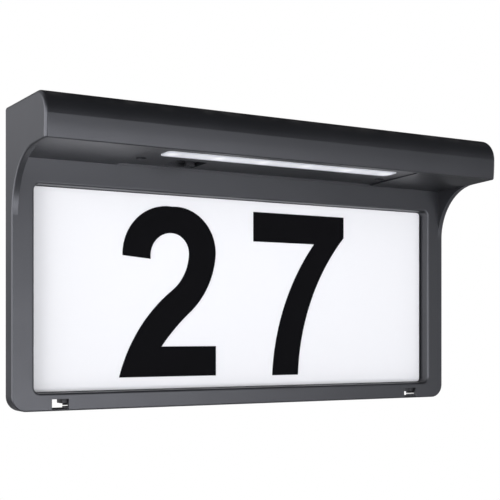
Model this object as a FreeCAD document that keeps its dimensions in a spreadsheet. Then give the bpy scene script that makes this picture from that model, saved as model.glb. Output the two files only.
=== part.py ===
"""Illuminated house number sign: a wall plate with the number panel, and a hooded front that swings off it.

The front is seen along +Y, +X is to the right and +Z is up. The origin lies on the wall, in the middle
of the line between the two wall screws. Inside this file heights are counted from the bottom edge of
the sign, and each sub-part's placement lowers it to the row of wall screws.
"""
import FreeCAD, Part

import math
import os
import re

import Sketcher

Vector = FreeCAD.Vector

SIZES = [
    # the whole sign
    ("sign_width", 290.0, "width over the two end faces"),
    ("sign_height", 161.0, "bottom edge to the flat top"),
    ("frame_depth", 10.4, "wall to the front of the number frame"),
    ("wall", 2.0, "wall of the moulded front"),
    ("rim_gap", 0.3, "gap between the front's rear rim and the wall"),
    ("screw_drop", 15.0, "flat top to the line of wall screws"),
    # the hood and the cheeks that carry it
    ("hood_front_drop", 3.2, "cover's inner face to the hood's front lower edge"),
    ("hood_fall", 2.2, "how far the hood's underside falls from its front edge to the frame"),
    ("hood_front_margin", 3.5, "front edge of the light module to the front of the hood"),
    ("hood_round", 13.0, "radius along the hood's top front edge"),
    ("hood_crown", 105.0, "radius of the hood's front face, which draws in towards its foot"),
    ("hood_end_round", 2.0, "radius of the hood's end edges"),
    ("edge_round", 0.9, "radius along the outline that faces the front"),
    ("cheek_thickness", 3.5, "thickness of the cheeks under the hood"),
    ("cheek_radius", 32.0, "hollow radius of the cheeks"),
    ("corner_round", 8.0, "radius of the two lower corners"),
    # the frame round the number
    ("frame_side", 12.2, "end face to the side of the number opening"),
    ("opening_low", 9.6, "height of the opening's lower side"),
    ("frame_top", 13.45, "opening's upper side to the hood's underside"),
    ("opening_corner", 3.5, "radius of the opening's corners"),
    ("opening_wall", 1.8, "wall round the opening"),
    ("lip_round", 1.2, "radius on the opening's front lip"),
    # the wall plate
    ("plate_thickness", 1.5, "thickness of the wall plate"),
    ("plate_gap", 0.5, "play between the wall plate and the front's walls"),
    ("plate_top_gap", 2.0, "room above the wall plate for the front to swing"),
    ("ring_gap", 0.4, "gap between the opening's wall and the wall plate"),
    ("screw_spacing", 200.0, "distance between the two wall screws"),
    ("screw_hole_radius", 2.25, "radius of the wall screw holes"),
    ("hook_spacing", 120.0, "distance between the two top hooks"),
    ("hook_width", 20.0, "width of a top hook"),
    ("hook_depth", 4.8, "wall to the middle of the hook's bead"),
    ("bead_radius", 1.5, "radius of the hook's bead"),
    ("bead_gap", 0.15, "play between the bead and the front's top wall"),
    ("hook_arm", 1.4, "thickness of the hook's arm"),
    ("hook_throat", 2.0, "bead's middle to the top of the hook's arm"),
    ("lip_thickness", 1.1, "thickness of the lip that drops behind the bead"),
    ("lip_reach", 1.0, "how far the lip drops below the bead's middle"),
    ("lip_gap", 0.35, "play between the bead and the lip"),
    # the two snap latches at the bottom
    ("latch_inset", 26.7, "end face to the middle of a latch window"),
    ("window_width", 9.5, "width of a latch window"),
    ("window_low", 0.9, "height of the window's lower side"),
    ("window_high", 6.3, "height of the window's upper side"),
    ("groove_low", 1.2, "height of the groove behind the window"),
    ("window_play", 0.5, "how far the plate's notch is wider than the window on the left"),
    ("notch_right", 0.2, "how far the plate's notch is wider than the window on the right"),
    ("latch_offset", 6.6, "window's left side to the latch arm"),
    ("latch_width", 4.0, "width of the latch arm"),
    ("latch_low", 3.8, "height of the latch arm's lower side"),
    ("latch_high", 6.4, "height of the latch arm's upper side"),
    ("latch_setback", 0.8, "rear of the front wall to the front of the latch arm"),
    ("latch_root", 1.2, "how far the latch arm's root runs into the plate"),
    ("nose_length", 1.4, "length of the latch's nose"),
    ("nose_rise", 0.6, "rise of the latch's nose above its arm"),
    ("catch_gap", 0.2, "play between the latch's nose and its catch"),
    ("catch_length", 1.0, "length of the catch bar"),
    # the number panel and its numerals
    ("panel_thickness", 1.6, "thickness of the white panel"),
    ("panel_side_gap", 1.1, "panel's side edge to the opening's wall"),
    ("panel_low_gap", 0.4, "panel's lower edge to the opening's wall"),
    ("panel_high_gap", 0.4, "panel's upper edge to the opening's wall"),
    ("panel_corner", 2.0, "radius of the panel's corners"),
    ("numeral_low_margin", 6.8, "panel's lower edge to the foot of the numerals"),
    ("numeral_high_margin", 6.15, "top of the numerals to the panel's upper edge"),
    ("numeral_thickness", 0.4, "thickness of the raised numerals"),
    ("numeral_2_left", -81.3, "left side of the numeral 2"),
    ("numeral_7_left", 5.5, "left side of the numeral 7"),
    # the light module under the hood
    ("module_setback", 1.2, "frame's front to the rear edge of the cover"),
    ("module_gap", 0.7, "gap round the cover"),
    ("cover_recess", 0.25, "how far the cover's front edge lies above the hood's underside"),
    ("cover_rear_recess", 1.0, "how far the cover's rear edge lies above the hood's underside"),
    ("seal_thickness", 0.5, "thickness of the rubber seal"),
    ("seal_corner", 1.5, "radius of the seal's corners"),
    ("seat_thickness", 2.0, "thickness of the seat that the cover closes"),
    ("seat_side_ledge", 10.3, "width of the seat at its two ends"),
    ("seat_front_ledge", 2.1, "width of the seat along its front"),
    ("seat_rear_ledge", 2.6, "width of the seat along its rear"),
    ("cover_screw_inset", 4.3, "hole in the seat to the cover screws"),
    ("cover_screw_setback", 16.9, "rear edge of the cover to its screws"),
    ("cover_screw_radius", 1.25, "shank radius of the cover screws"),
    ("cover_screw_length", 7.6, "shank length of the cover screws"),
    ("boss_radius", 3.0, "radius of the bosses that the cover screws grip"),
    ("boss_height", 5.0, "height of the bosses above the seat"),
    ("boss_roof", 1.0, "closed end of a boss above its hole"),
    ("cover_head_radius", 2.4, "head radius of the cover screws"),
    ("cover_head_height", 1.5, "head height of the cover screws"),
    ("cover_head_ledge", 1.4, "thickness of the cover above the cover screws' heads"),
    ("screw_play", 0.2, "radial play of a screw in its hole"),
    ("counterbore_play", 0.5, "radial play of a screw head in its counterbore"),
    # the light
    ("lens_width", 12.3, "front edge to rear edge of the frosted lens"),
    ("lens_proud", 0.15, "how far the lens stands below the cover"),
    ("lens_round", 3.0, "radius of the lens's corners"),
    ("lens_gap", 0.25, "gap round the lens"),
    ("flange_width", 1.2, "width of the lens's flange"),
    ("flange_thickness", 0.8, "thickness of the lens's flange"),
    ("reflector_thickness", 2.0, "thickness of the white reflector"),
    ("reflector_window", 7.0, "side of the reflector's windows"),
    ("light_board_trim", 0.5, "end of the light board to the end of the lens"),
    ("light_board_tail", 7.0, "light board behind the lens, where its screws are"),
    ("light_board_gap", 1.6, "battery holder to the light board"),
    ("light_board_play", 0.7, "ends of the light board to the hole in the seat"),
    ("light_board_front_play", 0.4, "front of the light board to the hole in the seat"),
    ("board_thickness", 1.2, "thickness of the circuit boards"),
    ("led_end_margin", 4.5, "end of the light board to the last lamp"),
    ("led_side", 3.0, "side of a lamp"),
    ("led_height", 1.2, "height of a lamp"),
    ("light_screw_setback", 4.2, "rear edge of the lens to the light board's screws"),
    ("small_screw_radius", 0.9, "shank radius of the board screws"),
    ("small_screw_length", 5.6, "shank length of the board screws"),
    ("small_head_radius", 1.7, "head radius of the board screws"),
    ("small_head_height", 1.1, "head height of the board screws"),
    ("thread_play", 0.05, "radial play of a screw in the hole that its thread grips"),
    # the battery
    ("cell_radius", 7.25, "radius of a battery cell"),
    ("cell_length", 50.0, "length of a battery cell"),
    ("nub_radius", 2.6, "radius of a cell's positive nub"),
    ("nub_length", 1.0, "length of a cell's positive nub"),
    ("cell_gap", 0.25, "play round a battery cell"),
    ("cell_headroom", 1.95, "room between the battery cells and the solar panel's tray"),
    ("holder_gap", 2.0, "control board to the battery holder"),
    ("holder_rear_gap", 0.8, "hole in the seat to the rear of the battery holder"),
    ("holder_right_gap", 5.6, "battery holder to the hole in the seat on the right, for a wire"),
    ("holder_wall", 1.2, "wall of the battery holder"),
    ("holder_floor", 1.0, "floor of the battery holder"),
    ("holder_height", 11.0, "height of the battery holder's walls"),
    ("contact_thickness", 0.4, "thickness of the contact plates"),
    ("contact_room", 1.6, "room between a holder's end and its cell"),
    # the control board and the switch
    ("board_width", 33.0, "left edge to right edge of the control board"),
    ("board_depth", 18.5, "rear edge to front edge of the control board"),
    ("board_left_gap", 2.2, "hole in the seat to the control board on the left"),
    ("board_rear_gap", 0.5, "hole in the seat to the control board at the rear"),
    ("post_height", 5.3, "height of the posts under the control board"),
    ("post_radius", 2.2, "radius of the posts under the control board"),
    ("post_inset", 3.0, "control board's edge to the middle of a post"),
    ("part_side", 5.0, "side of the parts on the control board"),
    ("part_inset", 4.5, "control board's left edge to its first part"),
    ("part_step", 6.0, "distance between the parts of a row"),
    ("part_front_inset", 10.3, "control board's rear edge to the middle of the front row of parts"),
    ("part_rear_inset", 3.3, "control board's rear edge to the middle of the capacitors"),
    ("coil_height", 3.0, "height of the coil on the control board"),
    ("chip_height", 2.0, "height of the chip on the control board"),
    ("capacitor_height", 6.0, "height of the capacitors on the control board"),
    ("well_width", 19.0, "left side to right side of the switch well"),
    ("well_depth", 19.2, "rear side to front side of the switch well"),
    ("well_right_gap", 1.0, "switch well's right side to the control board's right edge"),
    ("well_rear_wall", 1.2, "rear edge of the cover to the switch well"),
    ("well_ceiling", 1.8, "thickness of the cover above the switch well"),
    ("knob_inset", 5.0, "control board's right edge to the middle of the knob at rest"),
    ("knob_setback", 5.0, "rear side of the switch well to the middle of the knob"),
    ("knob_travel", 4.0, "travel of the switch knob, to the left"),
    ("knob_length", 5.0, "length of the knob's grip"),
    ("knob_depth", 3.2, "depth of the knob's grip"),
    ("knob_reach", 4.2, "cover's inner face to the knob's tip"),
    ("knob_play", 0.3, "play of the knob in its slot"),
    ("knob_rib", 0.4, "width and depth of the grooves in the knob's tip"),
    ("carriage_length", 6.6, "length of the knob's carriage"),
    ("carriage_depth", 4.2, "depth of the knob's carriage"),
    ("carriage_height", 3.0, "height of the knob's carriage"),
    ("carriage_lift", 0.3, "play under the knob's carriage"),
    ("switch_wall", 0.8, "wall of the switch body"),
    # the solar panel in the top
    ("solar_width", 220.0, "width of the solar glass"),
    ("solar_front_setback", 16.5, "front of the hood to the solar glass"),
    ("solar_gap", 0.8, "width of the sealant round the solar glass"),
    ("glass_thickness", 1.6, "thickness of the solar glass"),
    ("silicon_thickness", 0.4, "thickness of the solar cells"),
    ("backing_thickness", 0.8, "thickness of the solar panel's backing"),
    ("glass_sink", 0.1, "how far the glass lies below the top"),
    ("tray_floor", 1.2, "floor under the solar panel"),
    ("tray_margin", 2.0, "tray floor beyond the solar panel"),
    ("tray_hook_gap", 0.9, "bead of the top hooks to the solar panel's tray"),
    ("cell_count", 8, "number of solar cells in a row"),
    ("cell_split", 1.2, "gap between solar cells"),
    ("cell_margin", 3.0, "glass edge to the solar cells"),
    # the wires
    ("lead_radius", 0.7, "radius of an insulated wire"),
    ("lead_pitch", 2.4, "distance between the two wires of a pair"),
    ("lead_bend", 2.0, "bend radius of the wires"),
    ("lead_hole_radius", 3.0, "radius of the wire hole under the solar panel"),
    ("solar_wire_inset", 16.0, "control board's left edge to the solar wires' hole"),
    ("solar_wire_setback", 7.3, "control board's rear edge to the solar wires' hole"),
    ("solar_wire_shift", 5.0, "how far the solar wires step aside on their way down"),
    ("led_wire_inset", 10.0, "control board's left edge to the light board's wires"),
    ("led_wire_tail", 3.0, "light board's rear edge to the landing of its wires"),
    ("led_wire_edge", 3.7, "control board's front edge to the landing of those wires"),
    ("led_wire_rise", 4.3, "height of those wires above the control board"),
    ("battery_wire_lift", 2.8, "height of the battery wires above the control board"),
    ("battery_wire_gap", 0.3, "gap between the far battery wire and the holder"),
    ("battery_wire_inset", 3.8, "side of the holder to a battery wire"),
    ("battery_wire_reach", 6.0, "holder's left end to the near wire's landing"),
]

PLACES = [
    # heights of the hood, from the flat top down through what it holds
    ("screw_height", "sign_height - screw_drop"),
    ("glass_low", "sign_height - glass_sink - glass_thickness"),
    ("silicon_low", "glass_low - silicon_thickness"),
    ("backing_low", "silicon_low - backing_thickness"),
    ("tray_low", "backing_low - tray_floor"),
    ("cell_axis_z", "tray_low - cell_headroom - cell_radius"),
    ("cover_top", "cell_axis_z - cell_radius - cell_gap - holder_floor"),
    ("hood_front_low", "cover_top - hood_front_drop"),
    ("hood_rear_low", "hood_front_low - hood_fall"),
    ("opening_high", "hood_rear_low - frame_top"),
    ("ceiling", "sign_height - wall"),
    ("seat_low", "cover_top + seal_thickness"),
    ("seat_top", "seat_low + seat_thickness"),
    ("cover_head_floor", "cover_top - cover_head_ledge"),
    ("lens_flange_low", "cover_top - flange_thickness"),
    ("reflector_top", "cover_top + reflector_thickness"),
    ("light_board_top", "reflector_top + board_thickness"),
    ("control_low", "cover_top + post_height"),
    ("control_top", "control_low + board_thickness"),
    ("well_top", "cover_top - well_ceiling"),
    ("knob_low", "cover_top - knob_reach"),
    ("carriage_low", "cover_top + carriage_lift"),
    ("bead_z", "ceiling - bead_gap - bead_radius"),
    # depths, from the wall out through what the hood holds
    ("frame_inner", "frame_depth - wall"),
    ("ring_rear", "plate_thickness + ring_gap"),
    ("panel_face", "plate_thickness + panel_thickness"),
    ("latch_reach", "frame_inner - latch_setback"),
    ("lip_front", "hook_depth - bead_radius - lip_gap"),
    ("module_rear", "frame_depth + module_setback"),
    ("seat_rear", "module_rear + seat_rear_ledge"),
    ("cover_screw_depth", "module_rear + cover_screw_setback"),
    ("holder_rear", "seat_rear + holder_rear_gap"),
    ("holder_depth", "2 * (cell_radius + cell_gap + holder_wall)"),
    ("cell_axis_y", "-holder_rear - holder_depth / 2"),
    ("light_board_rear", "holder_rear + holder_depth + light_board_gap"),
    ("lens_rear", "light_board_rear + light_board_tail"),
    ("lens_front", "lens_rear + lens_width"),
    ("lens_middle", "(lens_front + lens_rear) / 2"),
    ("light_screw_depth", "lens_rear - light_screw_setback"),
    ("light_board_front", "lens_front + flange_width"),
    ("seat_front", "light_board_front + light_board_front_play"),
    ("module_front", "seat_front + seat_front_ledge"),
    ("hood_depth", "module_front + hood_front_margin"),
    ("hood_inner", "hood_depth - wall"),
    ("solar_front", "hood_depth - solar_front_setback"),
    ("solar_rear", "hook_depth + bead_radius + tray_hook_gap + tray_margin + solar_gap"),
    ("board_rear", "seat_rear + board_rear_gap"),
    ("board_front", "board_rear + board_depth"),
    ("part_rear", "board_rear + part_rear_inset"),
    ("part_front", "board_rear + part_front_inset"),
    ("well_rear", "module_rear + well_rear_wall"),
    ("well_front", "well_rear + well_depth"),
    ("knob_middle", "well_rear + knob_setback"),
    # across the sign
    ("half_width", "sign_width / 2"),
    ("inner_half", "half_width - wall"),
    ("opening_width", "sign_width - 2 * frame_side"),
    ("latch_spacing", "sign_width - 2 * latch_inset"),
    ("holder_length", "2 * (cell_length + nub_length + contact_room + holder_wall)"),
    ("seat_width", "board_left_gap + board_width + holder_gap + holder_length + holder_right_gap"),
    ("module_width", "seat_width + 2 * seat_side_ledge"),
    ("cover_screw_spacing", "seat_width + 2 * cover_screw_inset"),
    ("light_board_length", "seat_width - 2 * light_board_play"),
    ("lens_length", "light_board_length + 2 * light_board_trim"),
    ("led_pitch", "(light_board_length - 2 * led_end_margin) / 5"),
    ("board_left", "board_left_gap - seat_width / 2"),
    ("board_right", "board_left + board_width"),
    ("holder_left", "board_right + holder_gap"),
    ("cell_start", "holder_left + holder_wall + contact_room"),
    ("well_right", "board_right - well_right_gap"),
    ("well_left", "well_right - well_width"),
    ("knob_rest", "board_right - knob_inset"),
    ("cell_row", "solar_width - 2 * cell_margin"),
    ("cell_step", "(cell_row + cell_split) / cell_count"),
    # the hood's front, which draws in from the round along its top down to its foot
    ("round_y", "hood_round - hood_depth"),
    ("round_z", "sign_height - hood_round"),
    ("crown_y", "hood_crown - hood_depth"),
    ("crown_drop", "round_z - hood_front_low"),
    ("hood_foot", "sqrt(hood_crown * hood_crown - crown_drop * crown_drop) - crown_y"),
    # the hood's sloping underside, and the hollow of the cheeks that meets it
    ("hood_slope", "hood_fall / (hood_foot - frame_depth)"),
    ("slope_length", "sqrt(1 + hood_slope * hood_slope)"),
    ("cheek_y", "-frame_depth - cheek_radius"),
    ("cheek_z", "hood_front_low - hood_slope * (cheek_y + hood_foot) - cheek_radius * slope_length"),
    ("cheek_end_y", "cheek_y + cheek_radius * hood_slope / slope_length"),
    ("cheek_end_z", "cheek_z + cheek_radius / slope_length"),
    # the opening's wall, the plate, the panel and the numerals
    ("ring_half", "opening_width / 2 + opening_wall"),
    ("ring_low", "opening_low - opening_wall"),
    ("ring_high", "opening_high + opening_wall"),
    ("plate_low", "wall + plate_gap"),
    ("plate_high", "ceiling - plate_top_gap"),
    ("catch_low", "latch_high + nose_rise + catch_gap"),
    ("panel_low", "opening_low + panel_low_gap"),
    ("panel_high", "opening_high - panel_high_gap"),
    ("numeral_base", "panel_low + numeral_low_margin"),
    ("numeral_height", "panel_high - numeral_high_margin - numeral_base"),
    # where the wires run
    ("solar_wire_x", "board_left + solar_wire_inset"),
    ("solar_wire_y", "-board_rear - solar_wire_setback"),
    ("led_wire_x", "board_left + led_wire_inset"),
    ("led_wire_front", "light_board_rear + led_wire_tail"),
    ("led_wire_rear", "board_front - led_wire_edge"),
    ("led_wire_top", "control_top + led_wire_rise"),
]

TOLERANCE = 0.01
FRONTWARD = FreeCAD.Rotation(Vector(1, 0, 0), 90)
SIDEWARD = FreeCAD.Rotation(Vector(0, 1, 0), 90)
UPWARD = FreeCAD.Rotation()

doc = FreeCAD.newDocument("HouseNumberSign")
owner = {}
nodes = []


# ---------------------------------------------------------------- the sheets and what is tied to them

def bound(formula):
    """Return a formula with each size written as a cell of the sheet that holds it."""
    return re.sub(r"[a-z][a-z0-9_]*", lambda word: owner.get(word.group(), "") + word.group(), formula)


def fill_sheet(name, rows):
    """Make a spreadsheet with one named cell for each row of name, content and note."""
    sheet = doc.addObject("Spreadsheet::Sheet", name)
    for number, (alias, content, note) in enumerate(rows, start=1):
        sheet.set(f"A{number}", alias)
        sheet.set(f"B{number}", content)
        sheet.set(f"C{number}", note)
        sheet.setAlias(f"B{number}", alias)
    doc.recompute()
    owner.update({row[0]: name + "." for row in rows})
    return sheet


sizes = fill_sheet("Sizes", [(alias, str(number), note) for alias, number, note in SIZES])
places = fill_sheet("Places", [(alias, "=" + bound(formula), "") for alias, formula in PLACES])


def value(formula):
    """Return a formula's number in millimetres."""
    return float(sizes.evalExpression(bound(formula)))


def bind(thing, formulas):
    """Tie properties of an object to the sheets."""
    for prop, formula in formulas.items():
        thing.setExpression(prop, bound(formula))


def node(thing, name):
    """Name a finished sub-part and lower it to the line of wall screws."""
    thing.Label = name
    bind(thing, {"Placement.Base.z": "-screw_height"})
    nodes.append(thing)
    return thing


def floor_at(depth):
    """Return the height of the hood's underside at a depth in front of the wall."""
    return f"hood_front_low - hood_slope * (hood_foot - ({depth}))"


# ---------------------------------------------------------------- blocks, cylinders and booleans

def set_block(thing, low, size):
    """Tie a block's low corner and size to formulas."""
    names = ("Placement.Base.x", "Placement.Base.y", "Placement.Base.z", "Length", "Width", "Height")
    bind(thing, dict(zip(names, low + size)))
    return thing


def block(name, low, size):
    """Make a block that stands by itself."""
    return set_block(doc.addObject("Part::Box", name), low, size)


def body_block(body, kind, name, low, size):
    """Add a block to a body, or take it away: kind is Additive or Subtractive."""
    return set_block(body.newObject(f"PartDesign::{kind}Box", name), low, size)


def set_rod(thing, radius, length, base, turn):
    """Tie a cylinder's size and base to formulas, and turn it."""
    thing.Placement = FreeCAD.Placement(Vector(), turn)
    names = ("Radius", "Height", "Placement.Base.x", "Placement.Base.y", "Placement.Base.z")
    bind(thing, dict(zip(names, (radius, length) + base)))
    return thing


def rod(name, radius, length, base, turn=UPWARD):
    """Make a cylinder that stands by itself."""
    return set_rod(doc.addObject("Part::Cylinder", name), radius, length, base, turn)


def body_rod(body, kind, name, radius, length, base, turn=UPWARD):
    """Add a cylinder to a body, or take it away: kind is Additive or Subtractive."""
    return set_rod(body.newObject(f"PartDesign::{kind}Cylinder", name), radius, length, base, turn)


def fused(name, pieces):
    """Join solids that overlap or touch."""
    thing = doc.addObject("Part::MultiFuse", name)
    thing.Shapes = pieces
    return thing


def cut(name, base, tools):
    """Take tools away from a solid."""
    thing = doc.addObject("Part::Cut", name)
    thing.Base = base
    thing.Tool = tools[0] if len(tools) == 1 else fused(name + "_tools", tools)
    return thing


def group(name, pieces):
    """Keep solids of one kind together without joining them."""
    thing = doc.addObject("Part::Compound", name)
    thing.Links = pieces
    return thing


# ---------------------------------------------------------------- bodies, sketches and their features

def new_body(name):
    """Make an empty body."""
    return doc.addObject("PartDesign::Body", name + "_body")


def arc(centre, radius, turn):
    """Describe the round stretch that starts at a corner: turn is 1 to the left and -1 to the right."""
    return {"centre": centre, "radius": radius, "turn": turn}


def draw_loop(sketch, steps):
    """Draw a closed outline of corners (across, up, None or an arc to the next) and tie it."""
    first = sketch.GeometryCount
    spots = [Vector(value(across), value(up), 0) for across, up, _ in steps]
    ends = []
    for start, finish, (_, _, bend) in zip(spots, spots[1:] + spots[:1], steps):
        if bend is None:
            sketch.addGeometry(Part.LineSegment(start, finish), False)
            ends.append((1, 2))
            continue
        centre = Vector(value(bend["centre"][0]), value(bend["centre"][1]), 0)
        circle = Part.Circle(centre, Vector(0, 0, 1), value(bend["radius"]))
        angles = [math.atan2(spot.y - centre.y, spot.x - centre.x) for spot in (start, finish)]
        low, high = angles if bend["turn"] > 0 else reversed(angles)
        sketch.addGeometry(Part.ArcOfCircle(circle, low, high if high > low else high + 2 * math.pi), False)
        ends.append((1, 2) if bend["turn"] > 0 else (2, 1))
    for number, (across, up, bend) in enumerate(steps):
        after = (number + 1) % len(steps)
        sketch.addConstraint(Sketcher.Constraint("Coincident", first + number, ends[number][1],
                                                 first + after, ends[after][0]))
        corner = (first + number, ends[number][0])
        for kind, formula, size in (("DistanceX", across, spots[number].x),
                                    ("DistanceY", up, spots[number].y)):
            tie(sketch, Sketcher.Constraint(kind, -1, 1, *corner, size), formula)
        if bend is not None:
            tie(sketch, Sketcher.Constraint("Radius", first + number, value(bend["radius"])), bend["radius"])


def tie(sketch, constraint, formula):
    """Add a dimension to a sketch and tie it to a formula."""
    number = sketch.addConstraint(constraint)
    bind(sketch, {f"Constraints[{number}]": formula})


def rounded(left, right, low, high, radius):
    """Return the outline of a rectangle with rounded corners."""
    inner = (f"({left}) + ({radius})", f"({right}) - ({radius})",
             f"({low}) + ({radius})", f"({high}) - ({radius})")
    return [
        (inner[0], low, None), (inner[1], low, arc((inner[1], inner[2]), radius, 1)),
        (right, inner[2], None), (right, inner[3], arc((inner[1], inner[3]), radius, 1)),
        (inner[1], high, None), (inner[0], high, arc((inner[0], inner[3]), radius, 1)),
        (left, inner[3], None), (left, inner[2], arc((inner[0], inner[2]), radius, 1)),
    ]


def new_sketch(body, plane, name, loops, offset="0"):
    """Draw outlines on one of a body's own planes, moved along the plane's normal."""
    sketch = body.newObject("Sketcher::SketchObject", name)
    support = next(feature for feature in body.Origin.OriginFeatures if feature.Role == plane)
    sketch.AttachmentSupport = [(support, "")]
    sketch.MapMode = "FlatFace"
    bind(sketch, {"AttachmentOffset.Base.z": offset})
    for steps in loops:
        draw_loop(sketch, steps)
    doc.recompute()
    return sketch


def grow(body, kind, name, sketch, length, symmetric=False):
    """Pad or pocket a sketch, and make sure that the solid grew or shrank."""
    before = body.Shape.Volume if body.Tip else 0.0
    feature = body.newObject(f"PartDesign::{kind}", name)
    feature.Profile = sketch
    bind(feature, {"Length": length})
    feature.SideType = "Symmetric" if symmetric else "One side"
    feature.Reversed = kind == "Pocket" and not symmetric
    doc.recompute()
    change = body.Shape.Volume - before
    if change * (1 if kind == "Pad" else -1) <= 0:
        raise RuntimeError(f"{name} changed the volume by {change:.3f}")
    return feature


def edges_in(shape, x=None, y=None, z=None):
    """Return the names of the edges that lie wholly between the given limits."""
    names = []
    for number, edge in enumerate(shape.Edges, start=1):
        room = edge.BoundBox
        spans = ((x, room.XMin, room.XMax), (y, room.YMin, room.YMax), (z, room.ZMin, room.ZMax))
        if all(span is None or span[0] - TOLERANCE <= low and high <= span[1] + TOLERANCE
               for span, low, high in spans):
            names.append(f"Edge{number}")
    return names


def fillet(body, name, radius, edges):
    """Round edges of the body's latest solid."""
    feature = body.newObject("PartDesign::Fillet", name)
    feature.Base = (feature.BaseFeature, edges)
    bind(feature, {"Radius": radius})
    doc.recompute()
    return feature


# ---------------------------------------------------------------- the moulded front

def latch_side(sign):
    """Return the left side of a latch window, for sign 1 or -1."""
    return f"{sign} * latch_spacing / 2 - window_width / 2"


def front_housing():
    """Make the moulded front: hood, cheeks and number frame in one shell."""
    body = new_body("front_housing")
    front_outside(body)
    hood_inside(body)
    frame_inside(body)
    light_seat(body)
    solar_tray(body)
    hook_lips_and_catches(body)
    return node(body, "front_housing")


def front_outside(body):
    """Draw the outside from the end, and round its edges."""
    profile = [
        ("-rim_gap", "0", None), ("-frame_depth", "0", None),
        ("-frame_depth", "cheek_z", arc(("cheek_y", "cheek_z"), "cheek_radius", 1)),
        ("cheek_end_y", "cheek_end_z", None),
        ("-hood_foot", "hood_front_low", arc(("crown_y", "round_z"), "hood_crown", -1)),
        ("-hood_depth", "round_z", arc(("round_y", "round_z"), "hood_round", -1)),
        ("round_y", "sign_height", None), ("-rim_gap", "sign_height", None),
    ]
    sketch = new_sketch(body, "YZ_Plane", "front_profile", [profile])
    grow(body, "Pad", "front_block", sketch, "sign_width", True)
    between = [
        ("-frame_depth", "cheek_z - wall", None), ("-frame_depth", "hood_rear_low", None),
        ("-hood_foot", "hood_front_low", None), ("-hood_foot", "cheek_z - wall", None),
    ]
    sketch = new_sketch(body, "YZ_Plane", "between_cheeks", [between])
    grow(body, "Pocket", "cheek_gap", sketch, "sign_width - 2 * cheek_thickness", True)
    ends = [(side * value("half_width"),) * 2 for side in (-1, 1)]
    low = (0, 0)
    corners = [name for end in ends for name in edges_in(body.Shape, end, z=low)]
    fillet(body, "lower_corners", "corner_round", corners)
    above = (value("hood_front_low"), value("sign_height"))
    hood = [name for end in ends for name in edges_in(body.Shape, end, z=above)
            if body.Shape.getElement(name).BoundBox.ZMax > value("hood_front_low + wall")
            and body.Shape.getElement(name).BoundBox.YMin < value("-rim_gap - wall")]
    fillet(body, "hood_ends", "hood_end_round", hood)
    front = (value("-frame_depth"),) * 2
    fillet(body, "front_outline", "edge_round", edges_in(body.Shape, y=front, z=low))


def hood_inside(body):
    """Hollow the hood, and leave a thick seat for the light module."""
    bend = "hood_round - wall"
    cavity = [
        ("wall", "seat_top", None), ("-hood_inner", "seat_top", None),
        ("-hood_inner", f"ceiling - ({bend})",
         arc((f"{bend} - hood_inner", f"ceiling - ({bend})"), bend, -1)),
        (f"{bend} - hood_inner", "ceiling", None), ("wall", "ceiling", None),
    ]
    inside = "sign_width - 2 * wall"
    grow(body, "Pocket", "hood_cavity", new_sketch(body, "YZ_Plane", "hood_room", [cavity]), inside, True)
    low = [
        ("-frame_inner", "seat_top + wall", None), ("-hood_inner", "seat_top + wall", None),
        ("-hood_inner", floor_at("hood_inner") + " + wall", None),
        ("-frame_inner", floor_at("frame_inner") + " + wall", None),
    ]
    grow(body, "Pocket", "side_cavity", new_sketch(body, "YZ_Plane", "side_room", [low]), inside, True)
    seat = [
        ("-frame_inner", "seat_top", None), ("-hood_inner - wall / 2", "seat_top", None),
        ("-hood_inner - wall / 2", floor_at("hood_inner") + " + wall / 2", None),
        ("-frame_inner", floor_at("frame_inner") + " + wall / 2", None),
    ]
    sketch = new_sketch(body, "YZ_Plane", "seat_profile", [seat])
    grow(body, "Pad", "module_seat", sketch, "module_width + 2 * wall", True)


def frame_inside(body):
    """Hollow the frame round the number opening, and open the latch windows."""
    bend = "corner_round - wall"
    left = f"{bend} - inner_half"
    right = f"inner_half - ({bend})"
    cavity = [
        (left, "wall", None), (right, "wall", arc((right, "corner_round"), bend, 1)),
        ("inner_half", "corner_round", None), ("inner_half", "seat_top + wall", None),
        ("-inner_half", "seat_top + wall", None),
        ("-inner_half", "corner_round", arc((left, "corner_round"), bend, 1)),
    ]
    ring = rounded("-ring_half", "ring_half", "ring_low", "ring_high", "opening_corner + opening_wall")
    sketch = new_sketch(body, "XZ_Plane", "frame_room", [cavity, ring])
    grow(body, "Pocket", "frame_cavity", sketch, "frame_inner")
    low = ("-ring_half - plate_gap", "-ring_rear", "ring_low - plate_gap")
    size = ("2 * (ring_half + plate_gap)", "ring_rear + wall", "ring_high - ring_low + 2 * plate_gap")
    body_block(body, "Subtractive", "ring_back", low, size)
    opening = rounded("-opening_width / 2", "opening_width / 2",
                      "opening_low", "opening_high", "opening_corner")
    sketch = new_sketch(body, "XZ_Plane", "number_window", [opening])
    grow(body, "Pocket", "number_opening", sketch, "frame_depth + wall")
    front = (value("-frame_depth"),) * 2
    lip = edges_in(body.Shape, y=front, z=(value("opening_low"),) * 2)
    fillet(body, "opening_lip", "lip_round", lip)
    for sign in (-1, 1):
        low = (latch_side(sign), "-frame_depth - wall", "window_low")
        size = ("window_width", "2 * wall", "window_high - window_low")
        body_block(body, "Subtractive", "latch_window", low, size)
        low = (latch_side(sign), "-frame_inner - wall / 2", "groove_low")
        body_block(body, "Subtractive", "latch_groove", low, ("window_width", "frame_depth", "wall"))


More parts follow.
